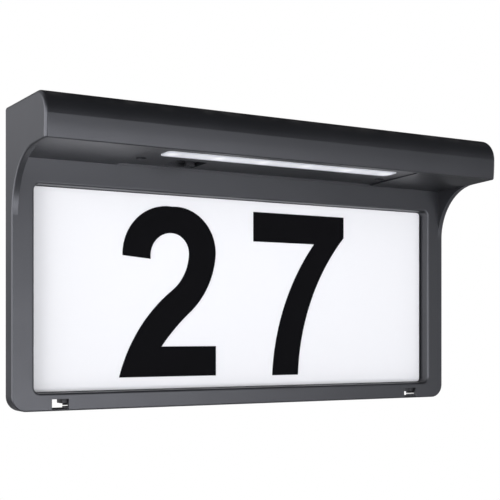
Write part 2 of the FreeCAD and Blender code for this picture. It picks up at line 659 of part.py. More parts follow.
def light_seat(body):
    """Cut the module's rebate and the hole in its seat, with a boss for each cover screw."""
    for sign in (-1, 1):
        base = (f"{sign} * cover_screw_spacing / 2", "-cover_screw_depth", "seat_top - wall / 2")
        body_rod(body, "Additive", "screw_boss", "boss_radius", "boss_height + wall / 2", base)
    low = ("-module_width / 2 - module_gap", "-module_front - module_gap", "hood_rear_low - wall")
    size = ("module_width + 2 * module_gap", "module_front - module_rear + 2 * module_gap",
            "seat_low - hood_rear_low + wall")
    body_block(body, "Subtractive", "module_rebate", low, size)
    low = ("-seat_width / 2", "-seat_front", "seat_low - wall")
    size = ("seat_width", "seat_front - seat_rear", "seat_thickness + 2 * wall")
    body_block(body, "Subtractive", "seat_hole", low, size)
    for sign in (-1, 1):
        base = (f"{sign} * cover_screw_spacing / 2", "-cover_screw_depth", "seat_low - wall / 2")
        body_rod(body, "Subtractive", "boss_hole", "cover_screw_radius + thread_play",
                 "seat_thickness + boss_height + wall / 2 - boss_roof", base)


def solar_tray(body):
    """Thicken the top under the solar panel, and sink the panel's recess and wire hole in it."""
    room = "solar_gap + tray_margin"
    low = (f"-solar_width / 2 - ({room})", f"-solar_front - ({room})", "tray_low")
    size = (f"solar_width + 2 * ({room})", f"solar_front - solar_rear + 2 * ({room})",
            "ceiling - tray_low + wall / 2")
    body_block(body, "Additive", "solar_floor", low, size)
    low = ("-solar_width / 2 - solar_gap", "-solar_front - solar_gap", "backing_low")
    size = ("solar_width + 2 * solar_gap", "solar_front - solar_rear + 2 * solar_gap",
            "sign_height - backing_low + wall")
    body_block(body, "Subtractive", "solar_recess", low, size)
    base = ("solar_wire_x", "solar_wire_y", "tray_low - wall")
    body_rod(body, "Subtractive", "wire_hole", "lead_hole_radius", "tray_floor + 2 * wall", base)


def hook_lips_and_catches(body):
    """Add the lips that drop behind the wall plate's beads, and the catches for its latches."""
    for sign in (-1, 1):
        width = "hook_width + 2 * wall"
        low = (f"{sign} * hook_spacing / 2 - ({width}) / 2", "-lip_front", "bead_z - lip_reach")
        size = (width, "lip_thickness", "ceiling - bead_z + lip_reach + wall / 2")
        body_block(body, "Additive", "hook_lip", low, size)
        low = (f"{latch_side(sign)} + latch_offset", "-latch_reach + nose_length + catch_gap", "catch_low")
        body_block(body, "Additive", "latch_catch", low,
                   ("latch_width", "catch_length", "ring_low - catch_low + opening_wall / 2"))


# ---------------------------------------------------------------- the wall side

def wall_plate():
    """Make the wall plate with its screw holes, top hooks and snap latches."""
    body = new_body("wall_plate")
    half = "inner_half - plate_gap"
    bend = "corner_round - wall - plate_gap"
    left = f"{bend} - ({half})"
    right = f"{half} - ({bend})"
    rise = f"plate_low + ({bend})"
    outline = [
        (left, "plate_low", None), (right, "plate_low", arc((right, rise), bend, 1)),
        (half, rise, None), (half, "plate_high", None),
        (f"-({half})", "plate_high", None), (f"-({half})", rise, arc((left, rise), bend, 1)),
    ]
    sketch = new_sketch(body, "XZ_Plane", "plate_outline", [outline])
    grow(body, "Pad", "plate", sketch, "plate_thickness")
    for sign in (-1, 1):
        base = (f"{sign} * screw_spacing / 2", "wall", "screw_height")
        body_rod(body, "Subtractive", "screw_hole", "screw_hole_radius",
                 "plate_thickness + 2 * wall", base, FRONTWARD)
        top_hook(body, sign)
        snap_latch(body, sign)
    return node(body, "wall_plate")


def top_hook(body, sign):
    """Add one hook: an arm, a riser and the round bead that the front swings on."""
    left = f"{sign} * hook_spacing / 2 - hook_width / 2"
    front = "-hook_depth - hook_arm / 2"
    arm_low = "bead_z - hook_throat - hook_arm"
    body_block(body, "Additive", "hook_arm_block", (left, front, arm_low),
               ("hook_width", "hook_depth + hook_arm / 2 - plate_thickness / 2", "hook_arm"))
    body_block(body, "Additive", "hook_riser", (left, front, arm_low),
               ("hook_width", "hook_arm", "hook_throat + hook_arm"))
    base = (left, "-hook_depth", "bead_z")
    body_rod(body, "Additive", "hook_bead", "bead_radius", "hook_width", base, SIDEWARD)


def snap_latch(body, sign):
    """Cut a notch behind a latch window, and add the latch arm with its nose and root."""
    left = latch_side(sign)
    low = (f"{left} - window_play", "-plate_thickness - wall", "plate_low - wall")
    size = ("window_width + window_play + notch_right", "plate_thickness + 2 * wall",
            "catch_low - plate_low + wall")
    body_block(body, "Subtractive", "latch_notch", low, size)
    rear = "nose_length - latch_reach"
    side = [
        ("0", "latch_low", None), ("0", "latch_high", None), (rear, "latch_high", None),
        (rear, "latch_high + nose_rise", None), ("-latch_reach", "latch_high", None),
        ("-latch_reach", "latch_low", None),
    ]
    low = (f"{left} + latch_offset", "-plate_thickness", "latch_low")
    body_block(body, "Additive", "latch_root_block", low,
               ("latch_width + latch_root", "plate_thickness", "latch_high - latch_low"))
    sketch = new_sketch(body, "YZ_Plane", "latch_side_view", [side], f"{left} + latch_offset")
    grow(body, "Pad", "latch_arm", sketch, "latch_width")


def number_panel():
    """Make the white panel that the numerals stand on."""
    body = new_body("number_panel")
    half = "opening_width / 2 - panel_side_gap"
    outline = rounded(f"-({half})", half, "panel_low", "panel_high", "panel_corner")
    sketch = new_sketch(body, "XZ_Plane", "panel_outline", [outline], "plate_thickness")
    grow(body, "Pad", "panel", sketch, "panel_thickness")
    return node(body, "number_panel")


DRAWN_HEIGHT = 97.0
OUTLINE_2 = [
    (0.0, 0.0, None), (61.2, 0.0, None), (61.2, 17.1, None), (26.0, 17.1, (35.7, 28.5)),
    (42.8, 35.4, (54.7, 49.4)), (61.1, 70.6, (55.0, 87.8)), (32.8, 96.8, (10.5, 88.9)),
    (2.1, 68.1, None), (19.3, 66.6, (21.4, 75.9)), (31.7, 81.7, (40.1, 78.7)),
    (43.7, 69.9, (41.2, 59.5)), (32.8, 49.0, (13.2, 28.4)),
]
OUTLINE_7 = [
    (0.0, 96.9, None), (65.5, 96.9, None), (65.5, 84.0, (40.7, 43.6)), (31.5, -0.6, None),
    (13.2, -0.6, (24.2, 47.0)), (43.5, 79.3, None), (0.0, 79.3, None),
]


def numeral(name, outline, left):
    """Cut a numeral from its outline of corners, each with the point that its arc passes or None."""
    scale = value("numeral_height") / DRAWN_HEIGHT
    corner = Vector(value(left), -value("panel_face"), value("numeral_base"))
    spots = [corner + Vector(across, 0, up) * scale for across, up, _ in outline]
    edges = []
    for start, finish, (_, _, via) in zip(spots, spots[1:] + spots[:1], outline):
        if via is None:
            edges.append(Part.LineSegment(start, finish).toShape())
        else:
            edges.append(Part.Arc(start, corner + Vector(via[0], 0, via[1]) * scale, finish).toShape())
    thing = doc.addObject("Part::Feature", name + "_solid")
    thing.Shape = Part.Face(Part.Wire(edges)).extrude(Vector(0, -value("numeral_thickness"), 0))
    return node(thing, name)


# ---------------------------------------------------------------- the light module

def module_cover():
    """Make the cover that closes the hood from below and carries the module's parts."""
    body = new_body("module_cover")
    wedge = [
        ("-module_rear", floor_at("module_rear") + " + cover_rear_recess", None),
        ("-module_front", floor_at("module_front") + " + cover_recess", None),
        ("-module_front", "cover_top", None), ("-module_rear", "cover_top", None),
    ]
    sketch = new_sketch(body, "YZ_Plane", "cover_profile", [wedge])
    grow(body, "Pad", "cover_block", sketch, "module_width", True)
    slot = rounded("-lens_length / 2 - lens_gap", "lens_length / 2 + lens_gap", "-lens_front - lens_gap",
                   "lens_gap - lens_rear", "lens_round + lens_gap")
    sketch = new_sketch(body, "XY_Plane", "lens_outline", [slot], "hood_rear_low - wall")
    grow(body, "Pocket", "lens_slot", sketch, "cover_top - hood_rear_low + 2 * wall")
    margin = "flange_width + lens_gap"
    low = (f"-lens_length / 2 - ({margin})", f"-lens_front - ({margin})", "lens_flange_low")
    size = (f"lens_length + 2 * ({margin})", f"lens_front - lens_rear + 2 * ({margin})", "wall")
    body_block(body, "Subtractive", "flange_rebate", low, size)
    low = ("well_left", "-well_front", "hood_rear_low - wall")
    size = ("well_right - well_left", "well_front - well_rear", "well_top - hood_rear_low + wall")
    body_block(body, "Subtractive", "switch_well", low, size)
    low = ("knob_rest - knob_travel - knob_length / 2 - knob_play",
           "-knob_middle - knob_depth / 2 - knob_play", "well_top - wall")
    size = ("knob_travel + knob_length + 2 * knob_play", "knob_depth + 2 * knob_play",
            "cover_top - well_top + 2 * wall")
    body_block(body, "Subtractive", "knob_slot", low, size)
    for sign in (-1, 1):
        spot = (f"{sign} * cover_screw_spacing / 2", "-cover_screw_depth")
        body_rod(body, "Subtractive", "counterbore", "cover_head_radius + counterbore_play",
                 "cover_head_floor - hood_rear_low + wall", spot + ("hood_rear_low - wall",))
        body_rod(body, "Subtractive", "shank_hole", "cover_screw_radius + screw_play",
                 "cover_top - cover_head_floor + 2 * wall", spot + ("cover_head_floor - wall",))
    for spot in board_screw_spots():
        base = spot + ("cover_top - wall / 2",)
        body_rod(body, "Additive", "post", "post_radius", "post_height + wall / 2", base)
    for spot in board_screw_spots():
        body_rod(body, "Subtractive", "post_hole", "small_screw_radius + thread_play",
                 "small_screw_length", spot + ("control_top - small_screw_length",))
    for spot in light_screw_spots():
        body_rod(body, "Subtractive", "light_screw_hole", "small_screw_radius + thread_play",
                 "small_screw_length", spot + ("light_board_top - small_screw_length",))
    return node(body, "module_cover")


def board_screw_spots():
    """Return where the control board is screwed down: three corners, because the switch fills the fourth."""
    left = "board_left + post_inset"
    front = "-board_front + post_inset"
    return [(left, front), (left, "-board_rear - post_inset"), ("board_right - post_inset", front)]


def light_screw_spots():
    """Return where the light board is screwed down, between the lamps and behind the lens."""
    return [(f"{step} * led_pitch", "-light_screw_depth") for step in (-2, 0, 2)]


MARK_REACH = 1.2
MARK_WIDTH = 0.3


def screw(name, spot, seat, head, shank, up):
    """Make a cross-head screw on its seat: head and shank are a radius and a length.

    The cross has a share of the head's radius for its reach and for its width.
    """
    head_low = f"{seat} - {head[1]}" if up else seat
    shank_low = seat if up else f"{seat} - {shank[1]}"
    mark_low = head_low if up else f"{seat} + {head[1]} / 2"
    solid = fused(name + "_solid", [
        rod(name + "_head", head[0], head[1], spot + (head_low,)),
        rod(name + "_shank", shank[0], shank[1], spot + (shank_low,)),
    ])
    marks = []
    for reach, width in ((MARK_REACH, MARK_WIDTH), (MARK_WIDTH, MARK_REACH)):
        low = (f"{spot[0]} - {reach} * {head[0]} / 2", f"{spot[1]} - {width} * {head[0]} / 2", mark_low)
        size = (f"{reach} * {head[0]}", f"{width} * {head[0]}", f"{head[1]} / 2")
        marks.append(block(name + "_mark", low, size))
    return cut(name, solid, marks)


def cover_screws():
    """Make the two screws that hold the module's cover."""
    spots = [(f"{sign} * cover_screw_spacing / 2", "-cover_screw_depth") for sign in (-1, 1)]
    head = ("cover_head_radius", "cover_head_height")
    shank = ("cover_screw_radius", "cover_screw_length")
    screws = [screw("cover_screw", spot, "cover_head_floor", head, shank, True) for spot in spots]
    return node(group("cover_screw_pair", screws), "cover_screws")


def small_screws(name, spots, seat):
    """Make the screws of a circuit board, driven from above."""
    head = ("small_head_radius", "small_head_height")
    shank = ("small_screw_radius", "small_screw_length")
    screws = [screw(name + "_one", spot, seat, head, shank, False) for spot in spots]
    return node(group(name + "_set", screws), name)


def module_seal():
    """Make the rubber seal between the cover and its seat."""
    body = new_body("module_seal")
    outside = rounded("-module_width / 2", "module_width / 2", "-module_front", "-module_rear", "seal_corner")
    inside = rounded("-seat_width / 2", "seat_width / 2", "-seat_front", "-seat_rear", "seal_corner")
    sketch = new_sketch(body, "XY_Plane", "seal_outline", [outside, inside], "cover_top")
    grow(body, "Pad", "seal", sketch, "seal_thickness")
    for sign in (-1, 1):
        base = (f"{sign} * cover_screw_spacing / 2", "-cover_screw_depth", "cover_top - wall")
        body_rod(body, "Subtractive", "seal_hole", "cover_screw_radius + screw_play",
                 "seal_thickness + 2 * wall", base)
    return node(body, "module_seal")


def light_lens():
    """Make the frosted lens: a long rounded window with a flange behind the cover."""
    body = new_body("light_lens")
    stem = rounded("-lens_length / 2", "lens_length / 2", "-lens_front", "-lens_rear", "lens_round")
    sketch = new_sketch(body, "XY_Plane", "stem_outline", [stem], "hood_rear_low")
    grow(body, "Pad", "stem", sketch, "cover_top - hood_rear_low")
    low = ("-lens_length / 2 - flange_width", "-lens_front - flange_width", "lens_flange_low")
    size = ("lens_length + 2 * flange_width", "lens_front - lens_rear + 2 * flange_width", "flange_thickness")
    body_block(body, "Additive", "flange", low, size)
    drop = " + cover_recess - lens_proud"
    under = [
        ("-lens_rear + wall", floor_at("lens_rear - wall") + drop, None),
        ("-lens_front - wall", floor_at("lens_front + wall") + drop, None),
        ("-lens_front - wall", "hood_rear_low - wall", None),
        ("-lens_rear + wall", "hood_rear_low - wall", None),
    ]
    sketch = new_sketch(body, "YZ_Plane", "lens_slope", [under])
    grow(body, "Pocket", "lens_face", sketch, "sign_width", True)
    return node(body, "light_lens")


def led_spots():
    """Return where the lamps stand along the lens."""
    return [f"{step} * led_pitch" for step in (-2.5, -1.5, -0.5, 0.5, 1.5, 2.5)]


def light_plate(name, low, thickness):
    """Make a flat piece of the light board's outline, with its screw holes."""
    base = block(name + "_plate", ("-light_board_length / 2", "-light_board_front", low),
                 ("light_board_length", "light_board_front - light_board_rear", thickness))
    holes = [rod(name + "_hole", "small_screw_radius + thread_play", f"{thickness} + 2 * wall",
                 spot + (f"{low} - wall",)) for spot in light_screw_spots()]
    return base, holes


def led_reflector():
    """Make the white reflector with a window for each lamp."""
    base, holes = light_plate("reflector", "cover_top", "reflector_thickness")
    size = ("reflector_window", "reflector_window", "reflector_thickness + 2 * wall")
    for across in led_spots():
        low = (f"{across} - reflector_window / 2", "-lens_middle - reflector_window / 2", "cover_top - wall")
        holes.append(block("reflector_window", low, size))
    return node(cut("reflector_solid", base, holes), "led_reflector")


def led_board():
    """Make the circuit board that carries the lamps."""
    base, holes = light_plate("light_board", "reflector_top", "board_thickness")
    return node(cut("light_board_solid", base, holes), "led_board")


def leds():
    """Make the row of lamps, each a square case with a round lit face."""
    lamps = []
    for across in led_spots():
        low = (f"{across} - led_side / 2", "-lens_middle - led_side / 2", "reflector_top - led_height")
        case = block("led_case", low, ("led_side", "led_side", "led_height"))
        base = (across, "-lens_middle", "reflector_top - led_height")
        cup = rod("led_cup", "led_side / 3", "led_height / 4", base)
        lamps.append(cut("led", case, [cup]))
    return node(group("led_row", lamps), "leds")


# ---------------------------------------------------------------- the battery

def battery_holder():
    """Make the open tray for two cells in line."""
    low = ("holder_left", "-holder_rear - holder_depth", "cover_top")
    case = block("holder_case", low, ("holder_length", "holder_depth", "holder_height"))
    low = ("holder_left + holder_wall", "-holder_rear - holder_depth + holder_wall",
           "cover_top + holder_floor")
    size = ("holder_length - 2 * holder_wall", "holder_depth - 2 * holder_wall", "holder_height")
    room = block("holder_room", low, size)
    return node(cut("holder_solid", case, [room]), "battery_holder")


def battery_cell(name, start):
    """Make one cell with its positive nub to the right."""
    spot = ("cell_axis_y", "cell_axis_z")
    case = rod(name + "_case", "cell_radius", "cell_length", (start,) + spot, SIDEWARD)
    nub = rod(name + "_nub", "nub_radius", "nub_length", (f"{start} + cell_length",) + spot, SIDEWARD)
    return node(fused(name + "_solid", [case, nub]), name)


def battery_contacts():
    """Make the two contact plates, each pressing a round bump on its cell."""
    plates = []
    ends = (("holder_left + holder_wall", "holder_left + holder_wall + contact_thickness"),
            ("holder_left + holder_length - holder_wall - contact_thickness",
             "holder_left + holder_length - holder_wall - contact_room"))
    for plate_x, bump_x in ends:
        low = (plate_x, "cell_axis_y - cell_radius", "cover_top + holder_floor")
        plate = block("contact_plate", low,
                      ("contact_thickness", "2 * cell_radius", "holder_height - holder_floor"))
        bump = rod("contact_bump", "nub_radius", "contact_room - contact_thickness",
                   (bump_x, "cell_axis_y", "cell_axis_z"), SIDEWARD)
        plates.append(fused("contact", [plate, bump]))
    return node(group("contact_pair", plates), "battery_contacts")


# ---------------------------------------------------------------- the control board and the switch

def control_board():
    """Make the charging and switching board on its four posts."""
    base = block("control_plate", ("board_left", "-board_front", "control_low"),
                 ("board_right - board_left", "board_front - board_rear", "board_thickness"))
    holes = [rod("control_hole", "small_screw_radius + thread_play", "board_thickness + 2 * wall",
                 spot + ("control_low - wall",)) for spot in board_screw_spots()]
    return node(cut("control_solid", base, holes), "control_board")


def board_parts():
    """Make the parts soldered on the control board: a chip, a coil and two capacitors."""
    pieces = []
    for name, step, height in (("coil", 0, "coil_height"), ("chip", 1, "chip_height")):
        low = (f"board_left + part_inset + {step} * part_step", "-part_front - part_side / 2", "control_top")
        pieces.append(block(name, low, ("part_side", "part_side", height)))
        base = (f"board_left + part_inset + part_side + {step} * part_step", "-part_rear", "control_top")
        pieces.append(rod("capacitor", "part_side / 2", "capacitor_height", base))
    return node(group("board_part_set", pieces), "board_parts")


def switch_body():
    """Make the switch's case under the control board, open below for the knob."""
    left = "knob_rest - knob_travel - carriage_length / 2 - knob_play"
    length = "knob_travel + carriage_length + 2 * knob_play"
    front = "-knob_middle - carriage_depth / 2 - knob_play"
    depth = "carriage_depth + 2 * knob_play"
    case = block("switch_case", (f"{left} - switch_wall", f"{front} - switch_wall", "cover_top"),
                 (f"{length} + 2 * switch_wall", f"{depth} + 2 * switch_wall", "control_low - cover_top"))
    room = block("switch_room", (left, front, "cover_top - wall"),
                 (length, depth, "carriage_low + carriage_height + carriage_lift - cover_top + wall"))
    return node(cut("switch_solid", case, [room]), "switch_body")


def switch_knob():
    """Make the sliding knob: a carriage in the switch and a ribbed grip below the cover."""
    low = ("knob_rest - carriage_length / 2", "-knob_middle - carriage_depth / 2", "carriage_low")
    carriage = block("knob_carriage", low, ("carriage_length", "carriage_depth", "carriage_height"))
    low = ("knob_rest - knob_length / 2", "-knob_middle - knob_depth / 2", "knob_low")
    grip = block("knob_grip", low,
                 ("knob_length", "knob_depth", "carriage_low - knob_low + carriage_height / 2"))
    solid = fused("knob_solid", [carriage, grip])
    grooves = []
    for step in (-1.5, -0.5, 0.5, 1.5):
        low = (f"knob_rest + {step} * knob_length / 5 - knob_rib / 2", "-knob_middle - knob_depth",
               "knob_low - knob_rib")
        grooves.append(block("knob_groove", low, ("knob_rib", "2 * knob_depth", "2 * knob_rib")))
    return node(cut("knob", solid, grooves), "switch_knob")


# ---------------------------------------------------------------- the solar panel

def solar_sheet(name, low, thickness):
    """Make a sheet of the solar panel's full outline."""
    sheet = block(name + "_sheet", ("-solar_width / 2", "-solar_front", low),
                  ("solar_width", "solar_front - solar_rear", thickness))
    return node(group(name + "_single", [sheet]), name)


def solar_cells():
    """Make the row of solar cells between the glass and its backing."""
    cells = []
    for number in range(round(value("cell_count"))):
        low = (f"-cell_row / 2 + {number} * cell_step", "-solar_front + cell_margin", "silicon_low")
        size = ("cell_step - cell_split", "solar_front - solar_rear - 2 * cell_margin", "silicon_thickness")
        cells.append(block("solar_cell", low, size))
    return node(group("solar_cell_row", cells), "solar_cells")


def solar_seal():
    """Make the sealant round the solar panel."""
    low = ("-solar_width / 2 - solar_gap", "-solar_front - solar_gap", "backing_low")
    height = "sign_height - glass_sink - backing_low"
    size = ("solar_width + 2 * solar_gap", "solar_front - solar_rear + 2 * solar_gap", height)
    outside = block("seal_outside", low, size)
    low = ("-solar_width / 2", "-solar_front", "backing_low - wall")
    inside = block("seal_inside", low, ("solar_width", "solar_front - solar_rear", height + " + 2 * wall"))
    return node(cut("solar_seal_solid", outside, [inside]), "solar_seal")


# ---------------------------------------------------------------- the wires

def wire(route):
    """Sweep an insulated wire along straight runs joined by arcs, and check its volume."""
    spots = [Vector(*(value(place) for place in spot)) for spot in route]
    radius = value("lead_radius")
    bend = value("lead_bend")
    edges = []
    start = spots[0]
    for before, spot, after in zip(spots, spots[1:], spots[2:]):
        back = (before - spot).normalize()
        ahead = (after - spot).normalize()
        half_turn = (math.pi - back.getAngle(ahead)) / 2
        reach = bend * math.tan(half_turn)
        middle = spot + (back + ahead).normalize() * (bend / math.cos(half_turn) - bend)
        edges.append(Part.LineSegment(start, spot + back * reach).toShape())
        edges.append(Part.Arc(spot + back * reach, middle, spot + ahead * reach).toShape())
        start = spot + ahead * reach
    edges.append(Part.LineSegment(start, spots[-1]).toShape())
    path = Part.Wire(edges)
    ring = Part.Wire([Part.Circle(spots[0], spots[1] - spots[0], radius).toShape()])
    solid = path.makePipeShell([ring], True, True)
    expected = math.pi * radius ** 2 * path.Length
    if abs(solid.Volume - expected) > expected * TOLERANCE:
        raise RuntimeError(f"a wire holds {solid.Volume:.2f} where {expected:.2f} is right")
    return solid


def wires(name, routes):
    """Make a pair of wires."""
    thing = doc.addObject("Part::Feature", name + "_pair")
    thing.Shape = Part.Compound([wire(route) for route in routes])
    return node(thing, name)


def solar_leads():
    """Lead the solar panel's two wires through the tray down to the control board."""
    routes = []
    for sign in (-1, 1):
        across = f"solar_wire_x + {sign} * lead_pitch / 2"
        aside = f"{across} + solar_wire_shift"
        middle = "(backing_low + control_top) / 2"
        routes.append([(across, "solar_wire_y", "backing_low"), (across, "solar_wire_y", middle),
                       (aside, "solar_wire_y", middle), (aside, "solar_wire_y", "control_top")])
    return wires("solar_leads", routes)


def led_leads():
    """Lead the light board's two wires up and over to the control board."""
    routes = []
    for sign in (-1, 1):
        across = f"led_wire_x + {sign} * lead_pitch / 2"
        routes.append([
            (across, "-led_wire_front", "light_board_top"), (across, "-led_wire_front", "led_wire_top"),
            (across, "-led_wire_rear", "led_wire_top"), (across, "-led_wire_rear", "control_top"),
        ])
    return wires("led_leads", routes)


def battery_leads():
    """Lead the near contact's wire across, and the far contact's wire along the holder's front."""
    height = "control_top + battery_wire_lift"
    far = "holder_left + holder_length"
    along = "-holder_rear - holder_depth - battery_wire_gap - lead_radius"
    near_y = "-holder_rear - battery_wire_inset"
    far_y = "-holder_rear - holder_depth + battery_wire_inset"
    landing = "holder_left - battery_wire_reach"
    past = f"{landing} - lead_pitch"
    routes = [
        [("holder_left", near_y, height), (landing, near_y, height), (landing, near_y, "control_top")],
        [(far, far_y, height), (f"{far} + 2 * lead_bend", far_y, height),
         (f"{far} + 2 * lead_bend", along, height), (past, along, height),
         (past, far_y, height), (past, far_y, "control_top")],
    ]
    return wires("battery_leads", routes)


# ---------------------------------------------------------------- the whole sign

def make_sign():
    """Make every sub-part."""
    wall_plate()
    number_panel()
    numeral("numeral_2", OUTLINE_2, "numeral_2_left")
    numeral("numeral_7", OUTLINE_7, "numeral_7_left")
    front_housing()
    module_cover()
    module_seal()
    cover_screws()
    light_lens()
    led_reflector()
    led_board()
    leds()
    small_screws("led_board_screws", light_screw_spots(), "light_board_top")
    battery_holder()
    battery_cell("battery_cell_left", "cell_start")
    battery_cell("battery_cell_right", "cell_start + cell_length + nub_length")
    battery_contacts()
    control_board()
    board_parts()
    small_screws("control_board_screws", board_screw_spots(), "control_top")
    switch_body()
    switch_knob()
    solar_sheet("solar_backing", "backing_low", "backing_thickness")
    solar_cells()
    solar_sheet("solar_glass", "glass_low", "glass_thickness")
    solar_seal()
    solar_leads()
    led_leads()
    battery_leads()


def check_sign():
    """Stop if any object failed or any sub-part has no valid solid."""
    failed = [thing.Name for thing in doc.Objects if {"Invalid", "Error"} & set(thing.State)]
    empty = [thing.Label for thing in nodes
             if thing.Shape.isNull() or not thing.Shape.isValid() or not thing.Shape.Solids]
    if failed or empty:
        raise RuntimeError(f"failed objects {failed}, sub-parts without a valid solid {empty}")


def write_sign():
    """Write each sub-part to its own file."""
    os.makedirs("parts", exist_ok=True)
    for thing in nodes:
        room = thing.Shape.BoundBox
        print(f"{thing.Label}: {len(thing.Shape.Solids)} solids, {thing.Shape.Volume:.1f} mm3, "
              f"x {room.XMin:.2f} {room.XMax:.2f}, y {room.YMin:.2f} {room.YMax:.2f}, "
              f"z {room.ZMin:.2f} {room.ZMax:.2f}")
        thing.Shape.exportStep(f"parts/{thing.Label}.step")


make_sign()
doc.recompute()
check_sign()
write_sign()
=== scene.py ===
"""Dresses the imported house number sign: finishes, small pieces, camera, light and floor.

The sign hangs on a wall at y = 0 and faces -Y. Lengths are in metres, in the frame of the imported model.
"""

import logging
import math
from dataclasses import dataclass, field
from enum import Enum
from typing import Any, Mapping, Optional, Sequence, Union

import bpy
from mathutils import Euler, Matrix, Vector


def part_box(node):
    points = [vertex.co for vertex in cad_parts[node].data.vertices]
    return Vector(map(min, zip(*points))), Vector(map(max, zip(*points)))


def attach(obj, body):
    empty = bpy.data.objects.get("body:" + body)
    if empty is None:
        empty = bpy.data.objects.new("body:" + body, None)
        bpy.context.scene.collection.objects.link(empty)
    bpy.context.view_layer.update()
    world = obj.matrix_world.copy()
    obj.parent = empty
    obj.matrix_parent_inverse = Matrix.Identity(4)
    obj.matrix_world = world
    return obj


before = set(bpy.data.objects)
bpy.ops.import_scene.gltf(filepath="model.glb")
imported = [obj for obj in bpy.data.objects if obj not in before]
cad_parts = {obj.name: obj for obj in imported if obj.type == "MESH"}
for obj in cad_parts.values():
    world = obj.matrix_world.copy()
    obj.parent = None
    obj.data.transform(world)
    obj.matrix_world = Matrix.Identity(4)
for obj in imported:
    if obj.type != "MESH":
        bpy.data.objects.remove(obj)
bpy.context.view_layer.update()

MM = 0.001
# The cosine between the true and the rounded normal where an edge begins to show, and where it shows fully.
EDGE_COSINES = (0.985, 0.8)
EDGE_SAMPLES = 6
# A Mix node's colour sockets, whose names its other sockets share.
MIX_FIRST, MIX_SECOND, MIX_RESULT = 6, 7, 2
WIRE_SIDES = 8
STEPS_PER_TURN = 20
Colour = tuple[float, float, float]

logging.basicConfig(level=logging.INFO, format="%(name)s: %(message)s")
log = logging.getLogger("sign")


class Body(Enum):
    """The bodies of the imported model."""

    WALL_SIDE = "wall_side"
    FRONT = "front"
    KNOB = "switch_knob"


# ---------------------------------------------------------------- node trees


class Signal:
    """An output socket of a node tree, on which Python's operators add Math nodes."""

    def __init__(self, tree: "Tree", socket: bpy.types.NodeSocket) -> None:
        """Hold a tree and one of its output sockets."""
        self.tree = tree
        self.socket = socket

    def maths(self, operation: str, *others: Any) -> "Signal":
        """Add a Math node.

        Args:
            operation: The node's operation.
            others: The node's further operands, as numbers or signals.

        Returns:
            The node's result.
        """
        operands = dict(enumerate((self, *others)))
        return self.tree.add("ShaderNodeMath", {"operation": operation}, operands)

    def __add__(self, other: Any) -> "Signal":
        """Add."""
        return self.maths("ADD", other)

    __radd__ = __add__

    def __sub__(self, other: Any) -> "Signal":
        """Subtract."""
        return self.maths("SUBTRACT", other)

    def __rsub__(self, other: Any) -> "Signal":
        """Subtract from a number."""
        return (self * -1.0) + other

    def __mul__(self, other: Any) -> "Signal":
        """Multiply."""
        return self.maths("MULTIPLY", other)

    __rmul__ = __mul__

    def __abs__(self) -> "Signal":
        """Drop the sign."""
        return self.maths("ABSOLUTE")

    def above(self, limit: float) -> "Signal":
        """Give 1 above a limit and 0 below it."""
        return self.maths("GREATER_THAN", limit)

    def below(self, limit: float) -> "Signal":
        """Give 1 below a limit and 0 above it."""
        return self.maths("LESS_THAN", limit)

    def ramp(self, low: float, high: float) -> "Signal":
        """Give 0 at low and 1 at high, and a smooth rise between them.

        Args:
            low: Where the rise begins.
            high: Where it ends. It may be the smaller of the two.

        Returns:
            The smooth share from 0 to 1.
        """
        sockets = {"Value": self, "From Min": low, "From Max": high}
        return self.tree.add("ShaderNodeMapRange", {"interpolation_type": "SMOOTHSTEP"}, sockets)


class Tree:
    """A node tree of a material, the world or Geometry Nodes, with one method that adds any node."""

    def __init__(self, tree: bpy.types.NodeTree) -> None:
        """Take a tree and empty it."""
        self.tree = tree
        tree.nodes.clear()

    def node(self, kind: str, settings: Optional[Mapping[str, Any]] = None,
             sockets: Optional[Mapping[Union[str, int], Any]] = None) -> bpy.types.Node:
        """Add a node.

        Args:
            kind: Its type.
            settings: Its properties, set before its sockets.
            sockets: Values or signals for its inputs, by name or number.

        Returns:
            The node.
        """
        node = self.tree.nodes.new(kind)
        for name, setting in (settings or {}).items():
            setattr(node, name, setting)
        for name, content in (sockets or {}).items():
            if isinstance(content, Signal):
                self.tree.links.new(content.socket, node.inputs[name])
            else:
                node.inputs[name].default_value = content
        return node

    def add(self, kind: str, settings: Optional[Mapping[str, Any]] = None,
            sockets: Optional[Mapping[Union[str, int], Any]] = None, output: Union[str, int] = 0) -> Signal:
        """Add a node and take one of its outputs.

        Args:
            kind: Its type.
            settings: Its properties.
            sockets: Values or signals for its inputs.
            output: The wanted output, by name or number.

        Returns:
            That output.
        """
        return Signal(self, self.node(kind, settings, sockets).outputs[output])


def opaque(content: Any) -> Any:
    """Give a colour an alpha of one, and pass a number or a signal on."""
    return (*content, 1.0) if isinstance(content, tuple) else content


